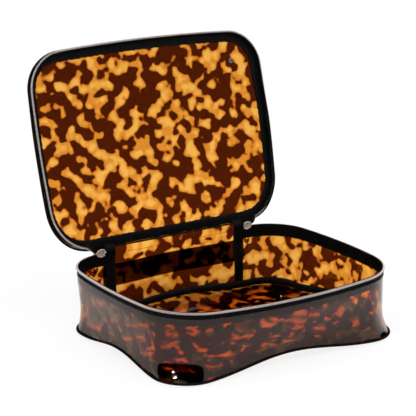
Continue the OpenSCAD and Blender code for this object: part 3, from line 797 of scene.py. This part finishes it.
# %% Lid sheet
lid_ring = lid_edge(WALL_OUT)
shrink = (1.0, 0.97, 0.9, 0.75, 0.5, 0.2)
middle = np.array((0, (lid_ring[:, 1].max() + lid_ring[:, 1].min()) / 2))
rows = np.array([middle + (lid_ring - middle) * k for k in shrink])
low = np.concatenate((rows, np.full((*rows.shape[:2], 1), RIM_H + LID_H)), 2)
high = low + (0, 0, VINYL_T)
stack = lid_pose(np.concatenate((high[::-1], low)))
cloth = np.concatenate((rows[::-1], rows))
cloth = np.concatenate((cloth, cloth[:, :1]), 1)
piece("lid_sheet", [joined(stack, cloth)], "lid", ["lid_panel"], lid_vinyl)


# %% Lid strip above the fold
def hinge_band(xs, outer, inner, low, high):
    """An upright sheet at the back of the closed lid, turned with it."""
    zs = np.linspace(low, high, 5)
    skins = [lid_pose(upright(xs, o, zs)) for o in (outer, inner)]
    return sheet(*skins, SEAM_X - xs, np.broadcast_to(zs, (len(xs), 5)))


LID_UNDER = RIM_H + LID_H - SEAT
part = hinge_band(xs, WALL_OUT, WALL_IN, FOLD_HIGH, LID_UNDER)
piece("lid_strip", [part], "lid", ["lid_spine_strip"], spine_vinyl)

# %% [markdown]
# ## Black bindings
# Every raw edge inside the case is wrapped in black ribbon: round the lid, round the floor and up both back
# seams. Sewn ribbon is never quite straight. Its free edge ripples a little between stitches, and the roll
# round the floor is lumpy where it turns a corner. The ripples are sums of a few waves whose lengths divide
# the whole round, so that they close on themselves.

# %% Ripples and finer lines
def finer(values, times):
    """A closed row of points with more steps in each span."""
    nearby = np.concatenate((values, values[:1]))
    share = (np.arange(times) / times).reshape(1, times, *[1] * (values.ndim - 1))
    made = nearby[:-1, None] * (1 - share) + nearby[1:, None] * share
    return made.reshape(-1, *values.shape[1:])


WAVES = ((17.0, 0.35), (7.3, 0.6), (4.4, 0.3))  # length and size of each


def ripple(run, total):
    """A wavy number along a closed run: each wave's length is made to fit the total."""
    turns = [(2 * np.pi * round(total / wave), 1.7 * wave, size) for wave, size in WAVES]
    return sum(size * np.sin(turn * run / total + start) for turn, start, size in turns)


print("ripple of the rim:", np.round(ripple(rim_run[:4], rim_run[-1]), 2))

# %% Bottom binding and piping
foot_p = wall(WALL_IN - 0.3 - ROLL_T / 2, np.stack((seam_z, seam_z + ROLL_H - 1), 1))
lean = ((foot_p[:, 1, :2] - foot_p[:, 0, :2]) * outward).sum(1)
inner_p = np.where((lean < 0)[:, None], foot_p[:, 1, :2], foot_p[:, 0, :2])
roll_line = finer(flat3(inner_p, seam_z + ROLL_H / 2 + 0.3), 3)
roll_ways = finer(spread3(outward), 3)
roll_run = along(roll_line[:, :2])
lumps = ripple(roll_run[:-1], roll_run[-1])
ways, ups = spread3(outward), np.tile((0.0, 0, 1), (COUNT, 1))
roll_ups = np.tile((0.0, 0, 1), (len(roll_line), 1))
ROLL_RX, ROLL_RZ = ROLL_T / 2 - 0.15, ROLL_H / 2 - 0.2
roll_rx, roll_rz = ROLL_RX * (1 + 0.05 * lumps), ROLL_RZ * (1 + 0.04 * lumps)
part = cord(roll_line, roll_ways, roll_ups, roll_rx, roll_rz, 20, True)
piece("bottom_binding", [part], "base", ["bottom_seam_binding"], ribbon_cloth)
piping_line = flat3(foot_line(WALL_OUT + PIPING_D / 2 - 0.4), seam_z - 0.2 - 0.3 * corner_share)
piping_r = 0.85 + 0.35 * corner_share
part = cord(piping_line, ways, ups, piping_r, piping_r, 12, True)
piece("bottom_piping", [part], "base", ["bottom_edge_piping"], ribbon_cloth)

# %% Seam bindings
RIBBON_OUT = WALL_IN - SEAT


def sampled(at, run, values):
    """Points or directions (n, 3) known along a run, read at other places of it."""
    return np.stack([np.interp(at, run, values[:, c]) for c in range(3)], 1)


def seam_grid(xs, o, rows):
    """Points on the spine side of the wall, moved outward by o, at places across the case."""
    rim = plan(rim_data, o)
    near = np.where((rim[:, 1] > CASE_D / 4) & (np.abs(rim[:, 0]) < SEAM_X + STRAP_TAIL + 1))[0]
    near = near[np.argsort(rim[near, 0])]
    grid = wall(o, wall_heights(ROLL_H - 4, FOLD_LOW, rows, 1.2))[near]
    return np.stack([sampled(xs, rim[near, 0], grid[:, m]) for m in range(grid.shape[1])], 1)


def seam_ribbon(side):
    xs = side * SEAM_X + np.linspace(RIBBON_W / 2, -RIBBON_W / 2, 11)
    crown = 0.35 * np.sin(np.pi * np.linspace(0, 1, 11)) ** 0.6
    outer, inner = seam_grid(xs, RIBBON_OUT, 60), seam_grid(xs, RIBBON_OUT - RIBBON_T + 0.3, 60)
    lumps = 1 + 0.4 * ripple(inner[0, :, 2], FOLD_LOW)
    inner[..., 1] -= crown[:, None] * lumps
    return sheet(outer, inner, xs, outer[:, :, 2])


SIDES = ((-1, "left"), (1, "right"))
for side, name in SIDES:
    part = seam_ribbon(side)
    piece(name + "_seam_ribbon", [part], "base", [name + "_seam_binding"], ribbon_cloth)
SEAM_EDGE = SEAM_X + RIBBON_W / 2
bound_folds = []
for side in (1, -1):
    bound_x = side * SEAM_X + np.linspace(RIBBON_W / 2, -RIBBON_W / 2, 9)
    bound_folds.append(folded(bound_x, RIBBON_OUT, RIBBON_OUT - RIBBON_T, SEAM_EDGE - bound_x))
ribbon_fold = piece("seam_ribbon_folds", bound_folds, None, ["seam_binding_folds"], ribbon_cloth)
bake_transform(ribbon_fold)

# %% Webbing strap across the spine
z = np.linspace(STRAP_Z, STRAP_Z + STRAP_W, 13)
strap_h = np.broadcast_to(z, (COUNT, 13))
keep = np.concatenate(([COUNT - 2, COUNT - 1], np.arange(SPINE + 3)))
u = np.concatenate((rim_run[COUNT - 2 : COUNT] - rim_run[-1], rim_run[: SPINE + 3]))
strap_skins = [wall(WALL_OUT + SEAT + t, strap_h)[keep] for t in (STRAP_T, 0)]
part = sheet(*strap_skins, u, strap_h[keep])
piece("spine_webbing", [part], "base", ["spine_strap"], webbing_cloth)


# %% Zip tapes
def band(low_lines, high_lines, z0, z1, rows, keep, posed=False):
    """A sheet between two lines (outer, inner) at height z0 and two at z1."""
    z = np.linspace(z0, z1, rows)
    grids = []
    for low, high in zip(low_lines, high_lines):
        grid = np.stack([flat3(low + (high - low) * (h - z0) / (z1 - z0), h) for h in z], 1)
        grids.append(lid_pose(grid) if posed else grid)
    run = along(low_lines[0])[:COUNT]
    return sheet(grids[0][keep], grids[1][keep], run[keep], np.broadcast_to(z, (len(keep), rows)))


base_zip = np.arange(LEFT_RIBBON, COUNT)
tape_lines = [plan(rim_data, o) for o in (TAPE_OUT, TAPE_IN)]
part = band(tape_lines, tape_lines, RIM_H - TAPE_W, RIM_H - ZIP_GAP / 2, 7, base_zip)
piece("base_tape", [part], "base", ["base_zip_tape"], tape_cloth)
LID_SKIP = 10
lid_zip = np.arange(LEFT_CORNER + LID_SKIP, COUNT - 3 - LID_SKIP)
ZIP_LOW = RIM_H + ZIP_GAP / 2
# On the right the tape's edge curls over the coil and hides it
curl = (SPINE - np.arange(LEFT_CORNER + LID_SKIP, LEFT_CORNER + ARC + SIDE)[::-1]) % COUNT
from_end = np.minimum(np.arange(len(curl)), np.arange(len(curl))[::-1])
curled = 0.15 + 0.85 * smooth(np.clip(from_end / 16, 0, 1))[:, None]
curl_low, curl_high = plan(lid_data, TAPE_IN)[curl], plan(lid_data, 0.2)[curl]
curl_lines = [curl_low + (curl_high - curl_low) * k * curled for k in np.linspace(0, 1, 5)]
curl_skins = [lid_pose(np.stack([flat3(line, ZIP_LOW - z) for line in curl_lines], 1)) for z in (0.14, 0.02)]
curl_across = np.broadcast_to(np.linspace(TAPE_IN, 0.25, 5), (len(curl), 5))
curled_edge = sheet(*curl_skins, along(curl_lines[0])[:-1], curl_across)
low_lines = [plan(lid_data, o) for o in (TAPE_OUT, TAPE_IN)]
high_lines = [lid_edge(o) for o in (TAPE_OUT, TAPE_IN)]
part = band(low_lines, high_lines, ZIP_LOW, LID_UNDER, 5, lid_zip, True)
piece("lid_tape", [curled_edge, part], "lid", ["lid_zip_tape"], tape_cloth)

# %% The lid's ribbon and piping
w = np.linspace(0, 1, 11)
crown = 0.55 * np.sin(np.pi * w) ** 0.5
ribbon_run = along(finer(lid_edge(0), 3))
waves = ripple(ribbon_run[:-1], ribbon_run[-1])
left_share, front_share = np.maximum(0, -lid_outward).T
right_share = np.maximum(0, lid_outward[:, 0])
uneven = 0.4 * front_share - 3.1 * left_share - 1.6 * left_share * front_share
uneven = finer(uneven + 1.8 * right_share * (1 - front_share), 3)
ribbon_reach = WALL_OUT - TAPE_IN + SEAT + LID_RIBBON_W
rows = np.stack([finer(lid_edge(WALL_OUT - k * ribbon_reach), 3) for k in w], 1)
inward = rows[:, -1] - rows[:, 0]
rows += (inward / ribbon_reach)[:, None] * ((0.42 * waves + uneven)[:, None] * w**2)[..., None]
flat_z = np.full((*rows.shape[:2], 1), LID_UNDER)
top = np.concatenate((rows, flat_z), 2)
under = np.concatenate((rows, flat_z - (RIBBON_T + crown * (1 + 0.35 * waves[:, None]))[..., None]), 2)
facing_x = np.linspace(SEAM_EDGE, -SEAM_EDGE, 2 * SPINE + 1)
facing = hinge_band(facing_x, RIBBON_OUT, TAPE_IN - SEAT + 0.02, FOLD_HIGH - 0.1, LID_UNDER - 0.1)
ribbon_v = np.broadcast_to(w * LID_RIBBON_W, (len(top) + 1, len(w)))
part = sheet(lid_pose(top), lid_pose(under), ribbon_run, ribbon_v, True)
piece("lid_ribbon", [part, facing], "lid", ["lid_seam_binding"], ribbon_cloth)
HINGE = np.array((0, HINGE_Y, HINGE_Z))


def lid_turned(ways, share=1.0):
    """Turns directions with the lid, by a share of its opening."""
    return lid_pose(ways + HINGE, share) - HINGE


lid_up = lid_turned(ups)
lid_out = lid_turned(ways)
lid_line = lid_pose(flat3(lid_edge(WALL_OUT + PIPING_D / 2 + 0.1), RIM_H + LID_H + VINYL_T / 2))
part = cord(lid_line, lid_out, lid_up, PIPING_D / 2, PIPING_D / 2, 12, True)
piece("lid_piping", [part], "lid", ["lid_edge_piping"], ribbon_cloth)

# %% [markdown]
# ## Sewing
# Nothing on this case is glued. Each ribbon and tape is held by a row of lock stitches about 3 mm long. A
# painted dash would show no thread from near by, so every stitch is a short cord that is thickest at its
# middle and dives into the cloth at both ends. They are set out along lines that the pieces above already
# have.

# %% One row of stitches
STITCH, STITCH_GAP, THREAD = 2.2, 0.8, 0.24


def stitches(path, out, closed=False):
    """Thread pieces along a path (n, 3), lying on the side that out (n, 3) points to."""
    if closed:
        path, out = np.concatenate((path, path[:1])), np.concatenate((out, out[:1]))
    run = along(path)[:-1]
    count = int(run[-1] / (STITCH + STITCH_GAP))
    along_stitch = np.array((-0.5, -0.38, 0, 0.38, 0.5))
    swell = np.array((0.3, 0.8, 1, 0.8, 0.3))
    made = []
    for middle in (np.arange(count) + 0.5) * run[-1] / count:
        at = middle + along_stitch * STITCH
        centre, away = sampled(at, run, path), sampled(at, run, out)
        away /= np.linalg.norm(away, axis=1)[:, None]
        side = np.cross(away, centre[-1] - centre[0])
        side /= np.linalg.norm(side, axis=1)[:, None]
        sunk = THREAD * (0.55 - 4 * along_stitch**2)
        made.append(cord(centre + away * sunk[:, None], away, side, THREAD * swell, THREAD * swell, 6))
    return made


# %% Stitches on the lid
sewn = int(round(0.78 * (len(w) - 1)))
inner_way = lid_turned(np.tile((0.0, 0, -1), (len(top), 1)))
rows_3 = lid_pose(under[:, sewn])
outer_row = lid_pose(top[:, sewn] + (0, 0, VINYL_T + SEAT))
lid_rows = stitches(rows_3, inner_way, True) + stitches(outer_row, -inner_way, True)
piece("lid_stitches", lid_rows, "lid", (), thread_black)

# %% Stitches on the tray
tray_rows = []
for side in (-1, 1):
    for edge_way in (-1, 1):
        x = np.array([side * SEAM_X + edge_way * (RIBBON_W / 2 - 1.5)])
        column = seam_grid(x, RIBBON_OUT - RIBBON_T + 0.12, 40)[0]
        tray_rows += stitches(column, np.tile((0.0, -1, 0), (len(column), 1)))
lean_up = math.radians(38)
sewn_roll = roll_line - roll_ways * ROLL_RX * math.cos(lean_up)
sewn_roll = sewn_roll + roll_ups * ROLL_RZ * math.sin(lean_up)
tray_rows += stitches(sewn_roll, roll_ups * math.sin(lean_up) - roll_ways * math.cos(lean_up), True)
tape_seam = wall(WALL_OUT, np.full((COUNT, 1), RIM_H - TAPE_SHOW - 1.8))[base_zip, 0]
tray_rows += stitches(tape_seam, ways[base_zip])
z = np.linspace(STRAP_Z + 1.5, STRAP_Z + STRAP_W - 1.5, 9)
strap_face = wall(WALL_OUT + SEAT + STRAP_T, np.broadcast_to(z, (COUNT, len(z))))
for side, ring_place in ((-1, LEFT_RIBBON), (1, COUNT - 1)):
    for row in (0.0, -1.6):
        column = strap_face[ring_place] + (side * row, 0, 0)
        tray_rows += stitches(column, np.tile((0.0, 1, 0), (len(z), 1)))
piece("tray_stitches", tray_rows, "base", (), thread_black)

# %% [markdown]
# ## The zip's coil
# A coil zip is one nylon wire wound round a filler cord, about one turn in 1.2 mm. A bump map would show
# ribs only from afar, so the wire is really wound here: a thin tube runs along a helix whose middle line is
# the zip's edge.

# %% Winding a coil
PITCH, WIRE = 1.25, 0.38
PER_TURN = 10  # points of the wire in each turn


def coil(path, out, up):
    """The wound wire and its filler cord along a path (n, 3) with its outward and upward directions."""
    s = along(path)[:-1]
    at = np.linspace(0, s[-1], int(s[-1] / PITCH * PER_TURN) + 1)
    p, o, w = (sampled(at, s, values) for values in (path, out, up))
    a = 2 * np.pi * at / PITCH
    rx, rz = COIL_T / 2 - WIRE, COIL_H / 2 - WIRE
    c, sn = np.cos(a)[:, None], np.sin(a)[:, None]
    centre = p + o * rx * c + w * rz * sn
    tangent = np.gradient(centre, axis=0)
    tangent /= np.linalg.norm(tangent, axis=1)[:, None]
    spoke = o * c + w * sn
    spoke -= tangent * (spoke * tangent).sum(1)[:, None]
    spoke /= np.linalg.norm(spoke, axis=1)[:, None]
    wire = cord(centre, spoke, np.cross(tangent, spoke), WIRE, WIRE, 6)
    core = cord(p[::PER_TURN], o[::PER_TURN], w[::PER_TURN], rx - 0.15, rz - 0.15, 8)
    return wire, core


def zip_coil(name, body, path, out, up):
    wire, core = coil(path, out, up)
    piece(name, [wire], body, [body + "_zip_coil"], coil_nylon)
    piece(name + "_cord", [core], body, (), core_thread)


line = flat3(plan(rim_data, -COIL_T / 2), RIM_H - ZIP_GAP / 2 - COIL_H / 2)[base_zip]
zip_coil("base_coil", "base", line, ways[base_zip], ups[base_zip])
line = lid_pose(flat3(plan(lid_data, -COIL_T / 2), ZIP_LOW + COIL_H / 2))[lid_zip]
zip_coil("lid_coil", "lid", line, lid_out[lid_zip], lid_up[lid_zip])

# %% The coil beside the hinge
CORNER_X = rim_data.back[0]
CAD_ARC = 12  # steps in a corner of the CAD model, where this row starts and ends
FOLD_FROM, FOLD_TO = 1 / CAD_ARC, 2.97 / CAD_ARC
STRAIGHT = 11  # points before the twist


def corner_point(data, t):
    """Points and outward directions at a share t of an outline's back left corner."""
    a = (math.pi / 2 - data.side_turn - data.splay) * t
    n = np.stack((-np.sin(a), np.cos(a)), 1)
    return data.back * (-1, 1) + data.back_r * n, n


def zip_fold(side):
    """The joined zip beside a seam: first straight along the spine, then twisting into the opened lid."""
    straight = np.linspace(-SEAM_EDGE, -CORNER_X, STRAIGHT + 1)[:-1]
    k = np.linspace(0, 1, 40)
    f = smooth(k)[:, None]
    t = FOLD_FROM + (FOLD_TO - FOLD_FROM) * k
    (rim_p, rim_n), (lid_p, lid_n) = corner_point(rim_data, t), corner_point(lid_data, t)
    p, n = rim_p + (lid_p - rim_p) * f, rim_n + (lid_n - rim_n) * f
    n /= np.linalg.norm(n, axis=1)[:, None]
    p = np.concatenate((np.column_stack((straight, np.full(STRAIGHT, BACK_Y))), p))
    n = np.concatenate((np.tile((0.0, 1), (STRAIGHT, 1)), n))
    f = np.concatenate((np.zeros(STRAIGHT), f[:, 0]))
    mirror = np.array((-side, 1, 1))

    def at(o, z):
        return lid_pose(flat3(p + n * o, z), f) * mirror

    path = at(-COIL_T / 2, ZIP_LOW + COIL_H / 2)
    out = lid_turned(spread3(n), f) * mirror
    up = lid_turned(np.tile((0.0, 0, 1), (len(p), 1)), f) * mirror
    zs = np.linspace(ZIP_LOW, LID_UNDER, 5)
    grids = [np.stack([at(o, z) for z in zs], 1) for o in (TAPE_OUT, TAPE_IN)]
    tape = sheet(*grids, along(path)[:-1], np.broadcast_to(zs, (len(p), 5)))
    return path, out, up, tape


for side, name in SIDES:
    path, out, up, tape = zip_fold(-side)
    wire, core = coil(path, out, up)
    start, end = path[STRAIGHT] / 1000, path[-1] / 1000
    for label, part, finish, nodes in (
        ("_coil_fold", wire, coil_nylon, [name + "_zip_fold"]),
        ("_cord_fold", core, core_thread, ()),
        ("_tape_fold", tape, tape_cloth, ()),
    ):
        made = piece(name + label, [part], None, nodes, finish)
        tuple(start)
        tuple(end)
        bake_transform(made)

# %% [markdown]
# ## Sliders and pulls
# A slider is two shield-shaped plates joined by a wedge that parts the rows. Its top and bottom edges curl
# over the rows, and a bridge on the outer plate holds the pull. Die-cast parts have no sharp edge anywhere,
# and the inner plate is dished inside a raised rim. Both come from one outline, inset row by row while it
# moves from one face to the other.

# %% Outlines with round corners
PLATE_T, SLIDER_GAP, LOOP_L, LEG_R, EYE_GAP = 0.9, 0.55, 6, 0.8, 0.06
PULL_L, PULL_W, PULL_T, PULL_PLAY = 22, 6.4, 0.8, 0.4
PLATE_OUT, PLATE_IN = SLIDER_GAP, TAPE_IN - SLIDER_GAP
INNER_FACE = PLATE_IN - PLATE_T
HALF_H = ZIP_GAP / 2 + COIL_H + 0.35 + PLATE_T


def rounded(points, r):
    """A closed outline whose corners are rounded off within r of each."""
    points = np.array(points, float)
    t = np.linspace(0, 1, 7)[:, None]
    made = []
    for k, p in enumerate(points):
        before, after = points[k - 1] - p, points[(k + 1) % len(points)] - p
        a = p + before * min(0.45, r / np.linalg.norm(before))
        b = p + after * min(0.45, r / np.linalg.norm(after))
        made.append((1 - t) ** 2 * a + 2 * t * (1 - t) * p + t**2 * b)
    return np.concatenate(made)


def inset(outline, d):
    """An outline moved inward by d."""
    tangent = np.roll(outline, -1, 0) - np.roll(outline, 1, 0)
    tangent /= np.linalg.norm(tangent, axis=1)[:, None]
    turn = np.sign((outline * np.roll(outline, -1, 0)[:, ::-1] * (1, -1)).sum())
    return outline + np.stack((-tangent[:, 1], tangent[:, 0]), 1) * turn * d


def lofted(outline, profile, place):
    """A solid from an outline (x, z) and rows of (inset, y). place takes x, y and z to the case."""
    rings = [inset(outline, d) for d, y in profile]
    heights = [np.full(len(outline), y) for d, y in profile]
    sections = [place(np.column_stack((r[:, 0], y, r[:, 1]))) for r, y in zip(rings, heights)]
    cloth = np.stack([np.concatenate((r, r[:1])) for r in rings])
    return joined(np.array(sections), cloth)


def in_slider(side):
    """The function that takes points of a slider's own frame to its place on a side."""

    def place(points):
        return points * (-side, 1, 1) + (side * CORNER_X, BACK_Y, RIM_H)

    return place


half_shield = [(5.0, 3.1), (1.1, HALF_H), (-3.1, 3.3), (-4.9, 1.0)]
shield = rounded([(x, -z) for x, z in half_shield[::-1]] + half_shield, 0.45)
print("slider outline:", len(shield), "points")

# %% Slider bodies
rim_up, plate_low, plate_high = 0.25, PLATE_OUT, PLATE_OUT + PLATE_T
outer_profile = [(0.5, plate_low), (0.1, plate_low + 0.1), (0, plate_low + 0.3), (0.05, plate_high - 0.3)]
outer_profile += [(0.3, plate_high - 0.08), (0.7, plate_high - 0.02), (1.6, plate_high)]
inner_profile = [(0.5, PLATE_IN), (0.1, PLATE_IN - 0.1), (0, PLATE_IN - 0.3), (0.04, INNER_FACE + 0.25)]
inner_profile += [(0.2, INNER_FACE + 0.06), (0.45, INNER_FACE), (0.8, INNER_FACE + 0.03)]
inner_profile += [(1.05, INNER_FACE + rim_up), (1.5, INNER_FACE + rim_up + 0.08)]
wedge = rounded([(-4.4, 0), (-2.9, 0.5), (-1.6, 0), (-2.9, -0.5)], 0.4)
wedge_profile = [(0, PLATE_IN - 0.3), (0, PLATE_OUT + 0.3)]
FLANGE_H = PLATE_T - 0.15
flange = rounded([(-2.4, 0), (3.0, 0), (3.0, FLANGE_H), (-2.4, FLANGE_H)], 0.3)
flange_low, flange_high = 0.4 - COIL_T, PLATE_OUT + 0.3
flange_profile = [(0.2, flange_low), (0.05, flange_low + 0.08), (0, flange_low + 0.25), (0, flange_high)]
bridge_y = PLATE_OUT + 2 * PLATE_T + PULL_T + 2 * PULL_PLAY - PLATE_T / 2
bend_r, half = 1.0, LOOP_L / 2
turn = np.linspace(0, np.pi / 2, 7)[:-1]
left_leg = np.column_stack((np.full(4, -half), np.linspace(PLATE_OUT + PLATE_T - 0.3, bridge_y - bend_r, 4)))
left_bend = np.array((bend_r - half, bridge_y - bend_r)) + bend_r * np.stack((-np.cos(turn), np.sin(turn)), 1)
half_bridge = np.concatenate((left_leg[:-1], left_bend, [(0.0 - half / 3, bridge_y)]))
bridge_line = np.concatenate((half_bridge, half_bridge[::-1] * (-1, 1)))
tangent = np.gradient(bridge_line, axis=0)
tangent /= np.linalg.norm(tangent, axis=1)[:, None]
flat_share = smooth(np.clip((bridge_line[:, 1] - bridge_y + 1.6) / 1.6, 0, 1))
bridge_rx = LEG_R - 0.02 + (PLATE_T / 2 - LEG_R) * flat_share
bridge_rz = LEG_R - 0.02 + 0.22 * flat_share


def slider_parts(side):
    place = in_slider(side)
    centres = place(np.column_stack((bridge_line, np.zeros(len(bridge_line)))))
    out = np.column_stack((tangent[:, 1], -tangent[:, 0], np.zeros(len(tangent)))) * (-side, 1, 1)
    parts = [lofted(shield, profile, place) for profile in (outer_profile, inner_profile)]
    parts.append(lofted(wedge, wedge_profile, place))
    for up in (-1, 1):
        shape = flange * (1, up) + (0, up * (HALF_H - 0.3 - FLANGE_H))
        parts.append(lofted(shape, flange_profile, place))
    parts.append(cord(centres, out, np.tile((0.0, 0, 1), (len(centres), 1)), bridge_rx, bridge_rz, 16))
    return parts


for side, name in ((-1, "left_slider"), (1, "right_slider")):
    piece(name + "_body", slider_parts(side), name, [name], satin_metal, 40)

# %% Pull tabs
# A tab has two holes. A filled curve with a bevel is the shortest way to a plate with round edges and holes.
BEVEL = 0.18


def hull(p, r, q, s):
    """The outline round two circles, at p with radius r and at q with radius s."""
    p, q = np.array(p, float), np.array(q, float)
    d = q - p
    way, lean = math.atan2(d[1], d[0]), math.asin((r - s) / np.linalg.norm(d))
    a = np.linspace(way + math.pi / 2 - lean, way + 3 * math.pi / 2 + lean, 24)
    b = np.linspace(way - math.pi / 2 + lean, way + math.pi / 2 - lean, 24)
    ring = [c + x * np.stack((np.cos(t), np.sin(t)), 1) for c, x, t in ((p, r, a), (q, s, b))]
    return np.concatenate(ring)


turn = np.linspace(0, 2 * np.pi, 33)[:-1]
eye_x = -LOOP_L / 2
tab_rings = [
    hull((eye_x, 0), LEG_R + 1.3 - BEVEL, (eye_x, PULL_W / 2 - PULL_L), PULL_W / 2 - BEVEL),
    hull((eye_x, -LEG_R - 4), PULL_W / 8 + BEVEL, (eye_x, PULL_W - PULL_L), PULL_W / 4 + BEVEL),
    (eye_x, 0) + (LEG_R + EYE_GAP + BEVEL) * np.stack((np.cos(turn), np.sin(turn)), 1),
]


def pull_tab(name, side):
    data = bpy.data.curves.new(name, "CURVE")
    data.dimensions, data.fill_mode = "2D", "BOTH"
    data.extrude, data.bevel_depth, data.bevel_resolution = PULL_T / 2 - BEVEL, BEVEL, 2
    for ring in tab_rings:
        spline = data.splines.new("POLY")
        spline.points.add(len(ring) - 1)
        flat4 = np.column_stack((ring, np.zeros(len(ring)), np.ones(len(ring))))
        spline.points.foreach_set("co", flat4.ravel())
        spline.use_cyclic_u = True
    drawn = bpy.data.objects.new(name + "_outline", data)
    flat = bpy.data.meshes.new_from_object(drawn)
    verts = np.array([v.co for v in flat.vertices])
    verts = verts[:, (0, 2, 1)] + (0, PLATE_OUT + PLATE_T + PULL_PLAY + PULL_T / 2, 0)
    faces = [list(face.vertices) for face in flat.polygons]
    corners = [c for face in faces for c in verts[face][:, (0, 2)].tolist()]
    bpy.data.objects.remove(drawn)
    part = facing_out(in_slider(side)(verts), faces, corners)
    return piece(name + "_tab", [part], name, [name], satin_metal, 40)


for side, name in ((-1, "left_pull"), (1, "right_pull")):
    pull_tab(name, side)

# %% [markdown]
# ## The stud
# A domed stud sits in one front corner of the lid. It was turned on a lathe, so it is a profile spun round
# its axis: a thin foot on the sheet, a groove that stays dark, and a polished dome that mirrors the lamps.

# %% The domed stud
STUD_X, STUD_Y, STUD_R, STUD_DOME = CASE_W / 2 - 33.5, 37.5 - CASE_D / 2, 3.0, 2.0
turn = np.linspace(0, 2 * np.pi, 41)[:-1]
rise = np.linspace(0, np.pi / 2 - 0.12, 9)
stud_profile = [(STUD_R - 0.1, 0), (STUD_R, 0.08), (STUD_R, 0.25), (STUD_R - 0.15, 0.36)]
stud_profile += [(STUD_R - 0.55, 0.42), (STUD_R - 0.6, 0.52)]
stud_profile += [((STUD_R - 0.2) * math.cos(a), 0.6 + (STUD_DOME - 0.6) * math.sin(a)) for a in rise]
rings = [
    np.column_stack((STUD_X + r * np.cos(turn), STUD_Y + r * np.sin(turn), np.full(40, RIM_H + LID_H - y)))
    for r, y in stud_profile
]
flat_cloth = np.stack([np.concatenate((r, r[:1]))[:, :2] for r in rings])
part = joined(lid_pose(np.array(rings)), flat_cloth)
piece("stud_dome", [part], "lid", ["stud_cap"], dark_metal, 60)
for name in ("stud_post", "stud_back"):
    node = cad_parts[name]
    node.data.materials.clear()
    node.data.materials.append(dark_metal)

# %% Sizes of the dressed case
low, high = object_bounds()
print("visual box:", [round(1000 * v) for v in low], [round(1000 * v) for v in high])
